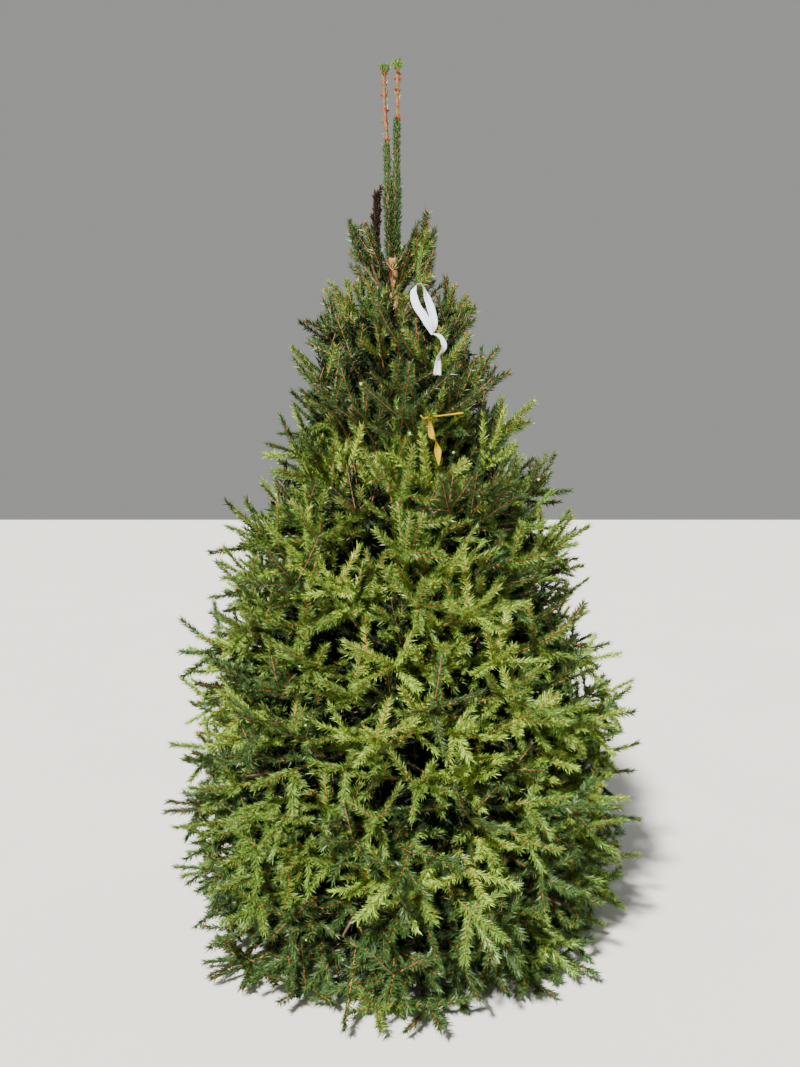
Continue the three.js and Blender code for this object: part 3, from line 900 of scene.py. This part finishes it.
class SpruceCrownSettings(bpy.types.PropertyGroup):
    """How the shoots of the crown grow."""

    row_spacing: bpy.props.FloatProperty(
        name="Row spacing", description="Height between rows of twigs on the outer face",
        default=0.135, min=0.05, max=0.5, unit="LENGTH",
    )
    twig_spacing: bpy.props.FloatProperty(
        name="Twig spacing", description="Distance between twigs in a row on the outer face",
        default=0.235, min=0.05, max=0.5, unit="LENGTH",
    )
    shoot_length: bpy.props.FloatProperty(
        name="Shoot length", description="Length of a leading shoot near the ground",
        default=0.15, min=0.03, max=0.4, unit="LENGTH",
    )
    top_shoot_length: bpy.props.FloatProperty(
        name="Top shoot length", description="Length of a leading shoot near the fork",
        default=0.25, min=0.03, max=0.4, unit="LENGTH",
    )
    shortest_reach: bpy.props.FloatProperty(
        name="Shortest reach", description="Share of the outline that the shortest twigs reach",
        default=0.86, min=0.5, max=1.0, subtype="FACTOR",
    )
    outline_slack: bpy.props.FloatProperty(
        name="Outline slack", description="How far past the outline a shoot may reach",
        default=1.02, min=1.0, max=1.05,
    )
    inner_reach: bpy.props.FloatProperty(
        name="Inner reach", description="Share of the outline that the shaded inner shoots reach",
        default=0.74, min=0.3, max=1.0, subtype="FACTOR",
    )
    top_spread: bpy.props.FloatProperty(
        name="Top spread", description="Room round the fork for the uppermost shoots",
        default=0.175, min=0.0, max=0.3, unit="LENGTH",
    )
    ground_clearance: bpy.props.FloatProperty(
        name="Ground clearance", description="Lowest height of a shoot",
        default=0.026, min=0.0, max=0.2, unit="LENGTH",
    )
    fork_angle: bpy.props.FloatProperty(
        name="Fork angle", description="Angle between a leading shoot and those beside it",
        default=math.radians(64), min=0.2, max=1.5, subtype="ANGLE",
    )
    top_fork_angle: bpy.props.FloatProperty(
        name="Top fork angle", description="The same angle near the fork of the trunk",
        default=math.radians(36), min=0.2, max=1.5, subtype="ANGLE",
    )
    top_openness: bpy.props.FloatProperty(
        name="Top openness", description="How much further apart the twigs of the top tier are",
        default=1.8, min=0.5, max=3.0,
    )
    under_shoots: bpy.props.FloatProperty(
        name="Under shoots", description="Share of forks with a side shoot on their underside",
        default=0.8, **SHARE,
    )
    upper_shoots: bpy.props.FloatProperty(
        name="Upper shoots", description="Share of forks with a side shoot on top",
        default=0.45, **SHARE,
    )
    twig_waywardness: bpy.props.FloatProperty(
        name="Twig waywardness", description="How far a twig's end strays from straight outwards",
        default=0.22, min=0.0, max=1.0,
    )
    low_lift: bpy.props.FloatProperty(
        name="Low lift", description="How much each new shoot turns upwards near the ground",
        default=-0.13, min=-0.5, max=0.6,
    )
    high_lift: bpy.props.FloatProperty(
        name="High lift", description="How much each new shoot turns upwards near the fork",
        default=0.3, min=-0.5, max=0.6,
    )
    spray_roll: bpy.props.FloatProperty(
        name="Spray roll", description="How far a spray may roll about its twig",
        default=math.radians(60), min=0.0, max=3.0, subtype="ANGLE",
    )
    whorl_shoots: bpy.props.IntProperty(
        name="Whorl shoots", description="Number of long shoots round the fork",
        default=13, min=0, max=60,
    )
    stem_shoot_spacing: bpy.props.FloatProperty(
        name="Stem shoot spacing", description="Distance between shoots along a mass's stem",
        default=0.055, min=0.02, max=0.3, unit="LENGTH",
    )
    bare_share: bpy.props.FloatProperty(
        name="Bare share", description="Share of the innermost side shoots that have died off",
        default=0.8, **SHARE,
    )
    light_share: bpy.props.FloatProperty(
        name="Light share", description="Share of the sprays with the lightest green",
        default=0.33, **SHARE,
    )
    middle_share: bpy.props.FloatProperty(
        name="Middle share", description="Share of the sprays with the middle green",
        default=0.4, **SHARE,
    )


class SpruceNeedleSettings(bpy.types.PropertyGroup):
    """The needles' size, spacing and colours."""

    length: bpy.props.FloatProperty(
        name="Length", description="Length of a needle",
        default=0.026, min=0.005, max=0.05, unit="LENGTH",
    )
    width: bpy.props.FloatProperty(
        name="Width", description="Width of a needle's foot on the last year's shoots",
        default=0.0046, min=0.0005, max=0.01, unit="LENGTH",
    )
    older_width: bpy.props.FloatProperty(
        name="Older width", description="Width of a needle's foot on older shoots",
        default=0.0056, min=0.0005, max=0.01, unit="LENGTH",
    )
    inner_length: bpy.props.FloatProperty(
        name="Inner length", description="Length of a needle inside the crown",
        default=0.037, min=0.005, max=0.05, unit="LENGTH",
    )
    inner_width: bpy.props.FloatProperty(
        name="Inner width", description="Width of a needle inside the crown",
        default=0.0125, min=0.0005, max=0.02, unit="LENGTH",
    )
    per_metre: bpy.props.FloatProperty(
        name="Needles per metre", description="Number of needles on a metre of last year's shoot",
        default=1120.0, min=50.0, max=3000.0,
    )
    older_per_metre: bpy.props.FloatProperty(
        name="Older needles per metre", description="Number of needles on a metre of older shoot",
        default=570.0, min=50.0, max=3000.0,
    )
    inner_per_metre: bpy.props.FloatProperty(
        name="Inner needles per metre", description="Number of needles on a metre of inner shoot",
        default=195.0, min=50.0, max=3000.0,
    )
    lean: bpy.props.FloatProperty(
        name="Lean", description="Angle of a needle from its shoot",
        default=math.radians(50), min=0.1, max=1.5, subtype="ANGLE",
    )
    laid_down: bpy.props.FloatProperty(
        name="Laid down", description="Share of their lean kept by the needles on top of a shoot",
        default=0.46, min=0.1, max=1.0, subtype="FACTOR",
    )
    parting: bpy.props.FloatProperty(
        name="Parting", description="Angle from the upper side past which needles are combed away",
        default=math.radians(120), min=0.5, max=3.1, subtype="ANGLE",
    )
    parted: bpy.props.FloatProperty(
        name="Parted share", description="Share of the needles under a shoot that are combed away",
        default=0.8, **SHARE,
    )
    # Painted sun and shade: the lightest and deepest greens are partly the sprays' own tones and
    # partly sun and shade painted into them.
    light: bpy.props.FloatVectorProperty(
        name="Light green", description="Colour of the lightest sprays",
        default=srgb(130, 158, 62), **COLOUR,
    )
    middle: bpy.props.FloatVectorProperty(
        name="Middle green", description="Colour of most sprays",
        default=srgb(94, 122, 48), **COLOUR,
    )
    deep: bpy.props.FloatVectorProperty(
        name="Deep green", description="Colour of the deepest sprays",
        default=srgb(54, 80, 36), **COLOUR,
    )
    # Painted shade: this inner green is far darker than needles are. It is partly the older
    # needles' own deeper green and mostly shade painted into the crown's gaps.
    shaded: bpy.props.FloatVectorProperty(
        name="Inner green", description="Colour of the needles inside the crown",
        default=srgb(30, 42, 25), **COLOUR,
    )
    dead: bpy.props.FloatVectorProperty(
        name="Dead needles", description="Colour of the dead leader's needles",
        default=srgb(52, 40, 34), **COLOUR,
    )


class SpruceWoodSettings(bpy.types.PropertyGroup):
    """Bark, shoots and buds."""

    trunk_sides: bpy.props.IntProperty(
        name="Trunk sides", description="Corners round the trunk", default=52, min=12, max=200,
    )
    trunk_rings: bpy.props.IntProperty(
        name="Trunk rings", description="Rings of corners up the trunk",
        default=190, min=20, max=900,
    )
    bark_relief: bpy.props.FloatProperty(
        name="Bark relief", description="Depth of the seams between scales of bark",
        default=0.0016, min=0.0, max=0.01, unit="LENGTH",
    )
    bark: bpy.props.FloatVectorProperty(
        name="Bark", description="Colour of old bark",
        default=srgb(112, 90, 70), **COLOUR,
    )
    upper_bark: bpy.props.FloatVectorProperty(
        name="Upper bark", description="Colour of the young bark near the fork",
        default=srgb(166, 120, 82), **COLOUR,
    )
    twig: bpy.props.FloatVectorProperty(
        name="Twig", description="Colour of older twigs",
        default=srgb(134, 92, 58), **COLOUR,
    )
    young: bpy.props.FloatVectorProperty(
        name="Young shoot", description="Colour of last year's shoots",
        default=srgb(176, 110, 62), **COLOUR,
    )
    bud: bpy.props.FloatVectorProperty(
        name="Bud", description="Colour of the buds",
        default=srgb(172, 92, 56), **COLOUR,
    )
    pale_bud: bpy.props.FloatVectorProperty(
        name="Pale bud", description="Colour of the few swollen buds",
        default=srgb(206, 214, 122), **COLOUR,
    )
    leader: bpy.props.FloatVectorProperty(
        name="Leader", description="Colour of the leaders' bark",
        default=srgb(126, 84, 58), **COLOUR,
    )
    leader_bud: bpy.props.FloatVectorProperty(
        name="Leader bud", description="Colour of the leaders' buds",
        default=srgb(146, 62, 42), **COLOUR,
    )
    bud_share: bpy.props.FloatProperty(
        name="Bud share", description="Share of the shoots whose bud is large enough to be made",
        default=0.5, **SHARE,
    )
    bud_length: bpy.props.FloatProperty(
        name="Bud length", description="Length of a bud",
        default=0.008, min=0.002, max=0.03, unit="LENGTH",
    )
    top_bud_length: bpy.props.FloatProperty(
        name="Top bud length", description="Length of a bud near the fork of the trunk",
        default=0.014, min=0.002, max=0.03, unit="LENGTH",
    )


class SpruceMarkerSettings(bpy.types.PropertyGroup):
    """The two marking tapes tied into the crown."""

    film_thickness: bpy.props.FloatProperty(
        name="Film thickness", description="Thickness of the tapes, doubled in the yellow strip",
        default=0.0004, min=0.0001, max=0.005, unit="LENGTH",
    )
    ribbon: bpy.props.FloatVectorProperty(
        name="Ribbon colour", description="Colour of the white tape",
        default=srgb(208, 214, 226), **COLOUR,
    )
    tag: bpy.props.FloatVectorProperty(
        name="Tag colour", description="Colour of the yellow tape",
        default=srgb(166, 134, 0), **COLOUR,
    )


class SpruceStageSettings(bpy.types.PropertyGroup):
    """Floor and light."""

    floor: bpy.props.FloatVectorProperty(
        name="Floor", description="Colour of the floor and of the air above it",
        default=srgb(226, 226, 222), **COLOUR,
    )
    sun_power: bpy.props.FloatProperty(
        name="Sun power", description="Strength of the main light",
        default=12.0, min=0.0, max=20.0,
    )
    air_power: bpy.props.FloatProperty(
        name="Air power", description="Strength of the light from all round",
        default=0.44, min=0.0, max=5.0,
    )


def crown_settings():
    return bpy.context.scene.spruce_crown


def needle_settings():
    return bpy.context.scene.spruce_needles


def wood_settings():
    return bpy.context.scene.spruce_wood


def marker_settings():
    return bpy.context.scene.spruce_markers


def cached_material(name, make, *details):
    """The material of this name, made on its first use."""
    return bpy.data.materials.get(name) or make(name, *details)


def green_materials():
    """The needles' four greens, in the order of the tones."""
    needles = needle_settings()
    return [
        cached_material("needles_light", needle_material, needles.light),
        cached_material("needles_middle", needle_material, needles.middle),
        cached_material("needles_deep", needle_material, needles.deep),
        # The inner green's material carries its painted shade.
        cached_material("needles_shaded", needle_material, needles.shaded, 0.85, 0.08),
    ]


def bark():
    colour = wood_settings().bark
    return cached_material(
        "scaly_bark", bark_material, [shaded(colour, 0.4), colour, shaded(colour, 1.35)]
    )


# Operators.

class SPRUCE_OT_trunk(bpy.types.Operator):
    """Cover the trunk with bark in relief"""

    bl_idname = "spruce.trunk"
    bl_label = "Trunk"
    bl_options = {"REGISTER", "UNDO"}

    def execute(self, context):
        wood = wood_settings()
        sides, rings = wood.trunk_sides, wood.trunk_rings
        corners = []
        for ring in range(rings + 1):
            z = FORK_HEIGHT * ring / rings
            flare = max(0, 1 - z / FLARE_HEIGHT)
            for k in range(sides):
                angle = k / sides * FULL_TURN
                lobe = 1 + LOBE_DEPTH * flare * math.cos(ROOT_LOBES * angle)
                spot = Vector((math.cos(angle), math.sin(angle), z * SCALES_UP))
                scale_spot = Vector((spot.x * SCALES_ROUND, spot.y * SCALES_ROUND, spot.z))
                distances, _ = noise.voronoi(scale_spot)
                seam = 1 - min(1, (distances[1] - distances[0]) * SEAM_SHARPNESS)
                swell = noise.fractal(spot * 0.8, 1.0, 2.0, 3) * BARK_SWELL
                size = trunk_radius(z) * lobe + swell - wood.bark_relief * seam
                corners.append((trunk_lean(z) + size * spot.x, size * spot.y, z))
        corners = np.array(corners)
        index = np.arange(rings * sides).reshape(rings, sides)
        top = rings * sides
        foot_cap = [[0, k + 1, k] for k in range(1, sides - 1)]
        top_cap = [[top, top + k, top + k + 1] for k in range(1, sides - 1)]
        triangles = np.concatenate([ring_triangles(index, index + sides), foot_cap, top_cap])
        young = cached_material("upper_bark", wood_material, wood.upper_bark, 0.8)
        heights = corners[triangles[:, 0], 2]
        tones = (heights > FORK_HEIGHT - YOUNG_BARK_LENGTH).astype(int)
        piece = make_piece("trunk_bark", corners, triangles, [bark(), young], tones, smooth=True)
        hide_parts("trunk")
        return {"FINISHED"}


class SPRUCE_OT_boughs(bpy.types.Operator):
    """Grow the boughs, with bark in relief, on through the masses as their stems"""

    bl_idname = "spruce.boughs"
    bl_label = "Boughs"
    bl_options = {"REGISTER", "UNDO"}

    def execute(self, context):
        rings, sides = 26, 8
        shares = [i / rings for i in range(rings + 1)]
        points, radii = [], []
        for number in range(1, len(TIERS) + 1):
            for space in crown_spaces(number):
                bearing, spring = space["bearing"], space["spring"]
                start, end = trunk_radius(spring) * 0.5, space["reach"] * 0.8
                points.append([place(mix(start, end, share), bearing, spring) for share in shares])
                thick = STEM_RADIUS * space["stout"]
                radii.append([mix(thick, STEM_END_RADIUS, share**0.8) for share in shares])
        corners, triangles = tube_mesh(points, radii, sides)
        corners = roughened(corners, points, sides, relief=0.14, scale=60)
        piece = make_piece("boughs", corners, triangles, [bark()], smooth=True)
        names = [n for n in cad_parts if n.startswith("bough_")]
        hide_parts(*names)
        return {"FINISHED"}


class SPRUCE_OT_foliage(bpy.types.Operator):
    """Grow one tier of foliage: twigs, shoots with needles, and buds"""

    bl_idname = "spruce.foliage"
    bl_label = "Foliage tier"
    bl_options = {"REGISTER", "UNDO"}

    tier: bpy.props.IntProperty(
        name="Tier", description="Which tier, from the ground up",
        default=1, min=1, max=len(TIERS),
    )

    def execute(self, context):
        height = (self.tier - 1) / (len(TIERS) - 1)
        growth = Growth(crown_settings(), GROWTH_SEED + self.tier, height)
        for space in crown_spaces(self.tier):
            grow_mass(growth, space)
        grow_trunk_sides(growth, TIERS[self.tier - 1])
        if self.tier == len(TIERS):
            grow_fork_whorl(growth)
        for tier, *places in CARRIERS:
            if tier == self.tier:
                grow_carrier(growth, *places)
        names = [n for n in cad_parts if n.startswith(f"foliage_{self.tier}_")]
        label = f"tier_{self.tier}"
        arrays = shoot_arrays(growth.shoots)
        dress_needles(arrays, len(growth.shoots), label, names)
        dress_wood(arrays, growth.twigs, label, names)
        dress_buds(growth.buds, label)
        return {"FINISHED"}


def shoot_arrays(shoots):
    """The gathered shoots as arrays, with what their needles need to know."""
    needles = needle_settings()
    root, along, bend, upper, length, year, tone = (np.array(column) for column in zip(*shoots))
    inner = tone == INNER
    older = year > 0

    def by_age(inside, old, young):
        return np.where(inner, inside, np.where(older, old, young))

    per_metre = by_age(needles.inner_per_metre, needles.older_per_metre, needles.per_metre)
    size = len(shoots)
    return {
        "root": root.astype(float),
        "along": along.astype(float),
        "bend": bend.astype(float),
        "upper": upper.astype(float),
        "tone": tone,
        "year": year,
        "count": np.maximum(4, length * per_metre),
        "first": np.full(size, 0.02),
        "last": np.full(size, 1.0),
        "parted": np.full(size, needles.parted),
        "lean": np.full(size, needles.lean),
        "radius": np.where(older, OLDER_SHOOT_RADIUS, SHOOT_RADIUS),
        "needle": np.where(inner, needles.inner_length, needles.length),
        "width": by_age(needles.inner_width, needles.older_width, needles.width),
    }


def dress_needles(arrays, seed, name, nodes):
    """The needles on last year's shoots, on older ones and inside, each in a piece of its own."""
    inner = arrays["tone"] == INNER
    older = (arrays["year"] > 0) & ~inner
    kinds = {"needles": ~inner & ~older, "older_needles": older, "inner_needles": inner}
    for label, which in kinds.items():
        mesh = needle_mesh(chosen(arrays, which), needle_settings(), seed, faces=1)
        corners, triangles, tones = mesh
        piece = make_piece(f"{label}_{name}", corners, triangles, green_materials(), tones)
        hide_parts(*nodes)


def dress_wood(arrays, grown_twigs, name, nodes):
    """Young bark on the outer shoots, and twig bark on the inner ones and on the twigs."""
    wood = wood_settings()
    inner = arrays["tone"] == INNER
    foot = arrays["root"]
    half = foot + arrays["along"] * 0.5 + arrays["bend"] * 0.25
    end = foot + arrays["along"] + arrays["bend"]
    girth = arrays["radius"][:, None]
    outer_wood = tube_mesh(
        np.stack([foot, half, end], axis=1)[~inner], girth[~inner] * [1.1, 0.95, 0.75], 3
    )
    inner_wood = tube_mesh(np.stack([foot, end], axis=1)[inner], girth[inner] * [1.1, 0.75], 3)
    shoots = joined([outer_wood, inner_wood])
    twigs = tube_mesh(*zip(*grown_twigs), 4)
    tones = np.ones(len(shoots[1]) + len(twigs[1]))
    tones[: len(outer_wood[1])] = 0
    materials = [
        cached_material("young_bark", wood_material, wood.young),
        cached_material("twig_bark", wood_material, wood.twig),
    ]
    piece = make_piece(f"twigs_{name}", *joined([shoots, twigs]), materials, tones, smooth=True)
    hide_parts(*nodes)


def dress_buds(buds, name):
    """Buds on a share of the shoots' tips, a few of them swollen and pale."""
    wood = wood_settings()
    draw = random.Random(len(buds))
    rows, tones = [], []
    for tip, heading in buds:
        height = tip.z / FORK_HEIGHT
        if draw.random() > mix(wood.bud_share, 1, height**3):
            continue
        pale = draw.random() < 0.05 and height < 0.8
        size = mix(wood.bud_length, wood.top_bud_length, height**3) * draw.uniform(0.8, 1.2)
        size *= 1.3 if pale else 1
        rows.append((tip, heading, size, size * (0.85 if pale else 0.6)))
        tones += [1 if pale else 0] * 8
    corners, triangles = bud_mesh(rows)
    materials = [
        cached_material("red_bud", wood_material, wood.bud, 0.55),
        cached_material("pale_bud", wood_material, wood.pale_bud, 0.5),
    ]
    piece = make_piece(f"buds_{name}", corners, triangles, materials, tones)


def stem_row(root, tip, count, lean, needle, radius, tone=0, first=0.0):
    """Arrays for the needles of one straight stem; `tone` numbers their piece's materials."""
    row = {
        "root": root,
        "along": tip - root,
        "bend": (0.0, 0.0, 0.0),
        "upper": (0.0, -1.0, 0.0),
        "tone": tone,
        "count": count,
        "first": first,
        "last": 1.0,
        "parted": 0.0,
        "lean": lean,
        "radius": radius,
        "needle": needle,
        "width": needle_settings().older_width,
    }
    return {key: np.array([value]) for key, value in row.items()}


def rough_stem(points, radii, sides, relief, scale):
    """A tube with uneven bark, closed at its tip."""
    corners, triangles = tube_mesh([points], [radii], sides)
    first = len(corners) - sides
    cap = [[first, first + k, first + k + 1] for k in range(1, sides - 1)]
    return roughened(corners, points, sides, relief, scale), np.concatenate([triangles, cap])


class SPRUCE_OT_leaders(bpy.types.Operator):
    """Dress the two living leaders with bark, buds and needles"""

    bl_idname = "spruce.leaders"
    bl_label = "Leaders"
    bl_options = {"REGISTER", "UNDO"}

    def execute(self, context):
        wood = wood_settings()
        draw = random.Random(LEADER_SEED)
        steps = 80
        stems, rows, buds = [], [], []
        for leader in LEADERS:
            foot = Vector((leader["foot"][0], 0, leader["foot"][1]))
            tip = Vector((leader["tip"][0], 0, leader["tip"][1] - TUFT_LENGTH * 0.8))
            shoot = tip - foot
            wave = draw.uniform(0.5, 1)
            points, radii = [], []
            for i in range(steps + 1):
                share = i / steps
                sway = LEADER_SWAY * math.sin(share * 9 + 3 * wave) * math.sin(share * math.pi)
                offs = [(share - bud) * KNOT_SHARPNESS for bud in leader["buds"]]
                knot = sum(math.exp(-(off**2)) for off in offs)
                points.append(foot + shoot * share + Vector((sway, sway * wave, 0)))
                radii.append(LEADER_RADIUS * (1 - 0.2 * share) + KNOT_HEIGHT * knot)
            stems.append(rough_stem(points, radii, sides=12, relief=0.12, scale=160))
            thick = leader["needled"] * 0.6
            # Start and end, needles on a metre, their lean, their length and their green.
            sections = (
                (0.0, thick, 2200, 0.7, 0.024, DEEP),
                (thick, leader["needled"], 1400, 0.45, 0.021, DEEP),
                (leader["needled"], 0.95, 90, 0.5, 0.021, MIDDLE),
            )
            for first, last, per_metre, lean, needle, tone in sections:
                count = shoot.length * (last - first) * per_metre
                low, high = foot + shoot * first, foot + shoot * last
                rows.append(stem_row(low, high, count, lean, needle, LEADER_RADIUS, tone))
            end = foot + shoot * 0.98
            rows.append(stem_row(end, end + UP * 0.018, 90, 0.75, 0.025, 0.006, MIDDLE))
            for share in leader["buds"]:
                near = points[round(share * steps)]
                turn = draw.uniform(0, FULL_TURN)
                for k in range(3):
                    angle = turn + k * FULL_TURN / 3 + draw.uniform(-0.5, 0.5)
                    out = Vector((math.cos(angle), math.sin(angle), draw.uniform(0.1, 0.7)))
                    size = draw.uniform(0.013, 0.018)
                    buds.append((near + out * 0.004, out.normalized(), size, size * 0.8))
        young = cached_material("leader_bark", wood_material, wood.leader)
        piece = make_piece("leader_bark", *joined(stems), [young], smooth=True)
        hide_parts("left_leader", "right_leader")
        mesh = needle_mesh(merged(rows), needle_settings(), LEADER_NEEDLE_SEED, faces=2)
        corners, triangles, tones = mesh
        piece = make_piece("leader_needles", corners, triangles, green_materials(), tones)
        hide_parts("left_leader", "right_leader")
        red = cached_material("leader_bud", wood_material, wood.leader_bud, 0.55)
        piece = make_piece("leader_buds", *bud_mesh(buds), [red])
        return {"FINISHED"}


class SPRUCE_OT_dead_leader(bpy.types.Operator):
    """Dress the dead leader with brown bark and scruffy dead needles"""

    bl_idname = "spruce.dead_leader"
    bl_label = "Dead leader"
    bl_options = {"REGISTER", "UNDO"}

    def execute(self, context):
        draw = random.Random(DEAD_LEADER_SEED)
        needles = needle_settings()
        knots = [Vector((x, 0, z)) for x, z in DEAD_LEADER]
        steps = 12
        points, radii, rows = [knots[0]], [DEAD_RADII[0]], []
        for k in range(3):
            for step in range(1, steps + 1):
                share = step / steps
                points.append(knots[k].lerp(knots[k + 1], share))
                radii.append(mix(DEAD_RADII[k], DEAD_RADII[k + 1], share))
            count = (knots[k + 1] - knots[k]).length * 2000
            if k:
                rows.append(stem_row(knots[k], knots[k + 1], count, 0.6, 0.019, 0.006))
        stems = [rough_stem(points, radii, sides=9, relief=0.16, scale=170)]
        for k in range(DEAD_TWIGLETS):
            angle = k * GOLDEN_ANGLE
            root = knots[2].lerp(knots[3], (k + 0.2) / DEAD_TWIGLETS)
            out = Vector((math.cos(angle) * 0.35, math.sin(angle) * 0.35, 1)).normalized()
            end = root + out * draw.uniform(0.03, 0.055)
            stems.append(
                rough_stem([root, end], [0.0026, 0.0014], sides=5, relief=0.1, scale=170)
            )
            rows.append(stem_row(root, end, 40, 0.6, 0.015, 0.002, first=0.1))
        dark = cached_material("dead_bark", wood_material, shaded(needles.dead, 1.3), 0.85)
        piece = make_piece("dead_leader_bark", *joined(stems), [dark], smooth=True)
        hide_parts("dead_leader")
        mesh = needle_mesh(merged(rows), needles, DEAD_NEEDLE_SEED, faces=2)
        corners, triangles, tones = mesh
        dead = cached_material("needles_dead", needle_material, needles.dead, 0.8, 0.1)
        piece = make_piece("dead_leader_needles", corners, triangles, [dead], tones)
        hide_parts("dead_leader")
        return {"FINISHED"}


class SPRUCE_OT_ribbon(bpy.types.Operator):
    """Hang the white marking tape: a loop with a tail"""

    bl_idname = "spruce.ribbon"
    bl_label = "White tape"
    bl_options = {"REGISTER", "UNDO"}

    def execute(self, context):
        markers = marker_settings()
        loop = tape_mesh(RIBBON_LOOP, markers.film_thickness)
        tail = tape_mesh(RIBBON_TAIL, markers.film_thickness)
        white = cached_material("white_tape", film_material, markers.ribbon, 0.5)
        piece = make_piece("white_tape", *joined([loop, tail]), [white], smooth=True)
        return {"FINISHED"}


class SPRUCE_OT_tag(bpy.types.Operator):
    """Hang the yellow marking tape: a thin strip with a tail"""

    bl_idname = "spruce.tag"
    bl_label = "Yellow tape"
    bl_options = {"REGISTER", "UNDO"}

    def execute(self, context):
        markers = marker_settings()
        strip = tape_mesh(TAG_STRIP, markers.film_thickness * 2, columns=3)
        tail = tape_mesh(TAG_TAIL, markers.film_thickness)
        yellow = cached_material("yellow_tape", film_material, markers.tag, 0.45)
        piece = make_piece("yellow_tape", *joined([strip, tail]), [yellow], smooth=True)
        return {"FINISHED"}


class SPRUCE_OT_stage(bpy.types.Operator):
    """Lay the floor, light it and stand the camera"""

    bl_idname = "spruce.stage"
    bl_label = "Stage"
    bl_options = {"REGISTER", "UNDO"}

    def execute(self, context):
        scene = context.scene
        stage = scene.spruce_stage
        far = FLOOR_HALF_SIZE
        corners = [(-far, -far, 0), (far, -far, 0), (far, far, 0), (-far, far, 0)]
        mesh = bpy.data.meshes.new("floor")
        mesh.from_pydata(corners, [], [(0, 1, 2), (0, 2, 3)])
        floor = bpy.data.objects.new("floor", mesh)
        scene.collection.objects.link(floor)
        material, tree, surface = new_material("pale_floor", roughness=0.9, specular=0.1)
        add_mottle(tree, surface, [shaded(stage.floor, 0.97), stage.floor], scale=0.8)
        mesh.materials.append(material)

        world = bpy.data.worlds.new("soft_air")
        world.use_nodes = True
        air = world.node_tree.nodes["Background"]
        air.inputs["Color"].default_value = (*stage.floor, 1)
        air.inputs["Strength"].default_value = stage.air_power
        scene.world = world

        sun = bpy.data.lights.new("key", "SUN")
        sun.energy = stage.sun_power
        sun.angle = SUN_SIZE
        sun.color = SUN_COLOUR
        lamp = bpy.data.objects.new("key", sun)
        lamp.rotation_euler = (SUN_FROM_ABOVE, 0, SUN_FROM_FRONT)
        scene.collection.objects.link(lamp)

        lens = bpy.data.cameras.new("view")
        lens.lens = CAMERA_LENS
        lens.sensor_width = CAMERA_SENSOR
        camera = bpy.data.objects.new("view", lens)
        camera.location = CAMERA_PLACE
        camera.rotation_euler = (math.radians(90 - CAMERA_DOWN), 0, 0)
        scene.collection.objects.link(camera)
        scene.camera = camera
        return {"FINISHED"}


class SPRUCE_PT_parts(bpy.types.Panel):
    """Buttons for every part of the tree"""

    bl_label = "Young Spruce"
    bl_idname = "SPRUCE_PT_parts"
    bl_space_type = "VIEW_3D"
    bl_region_type = "UI"
    bl_category = "Spruce"

    def draw(self, context):
        layout = self.layout
        for operator in OPERATORS:
            if operator is SPRUCE_OT_foliage:
                for tier in range(1, len(TIERS) + 1):
                    layout.operator(operator.bl_idname, text=f"Foliage tier {tier}").tier = tier
            else:
                layout.operator(operator.bl_idname)


OPERATORS = (
    SPRUCE_OT_trunk,
    SPRUCE_OT_boughs,
    SPRUCE_OT_foliage,
    SPRUCE_OT_leaders,
    SPRUCE_OT_dead_leader,
    SPRUCE_OT_ribbon,
    SPRUCE_OT_tag,
    SPRUCE_OT_stage,
)
SETTINGS = {
    "spruce_crown": SpruceCrownSettings,
    "spruce_needles": SpruceNeedleSettings,
    "spruce_wood": SpruceWoodSettings,
    "spruce_markers": SpruceMarkerSettings,
    "spruce_stage": SpruceStageSettings,
}
CLASSES = (*SETTINGS.values(), *OPERATORS, SPRUCE_PT_parts)


def register():
    for one in CLASSES:
        bpy.utils.register_class(one)
    for name, group in SETTINGS.items():
        setattr(bpy.types.Scene, name, bpy.props.PointerProperty(type=group))


def unregister():
    for name in SETTINGS:
        delattr(bpy.types.Scene, name)
    for one in reversed(CLASSES):
        bpy.utils.unregister_class(one)


def main():
    register()
    bpy.ops.spruce.stage()
    bpy.ops.spruce.trunk()
    bpy.ops.spruce.boughs()
    for tier in range(1, len(TIERS) + 1):
        bpy.ops.spruce.foliage(tier=tier)
    bpy.ops.spruce.leaders()
    bpy.ops.spruce.dead_leader()
    bpy.ops.spruce.ribbon()
    bpy.ops.spruce.tag()


if __name__ == "__main__":
    main()
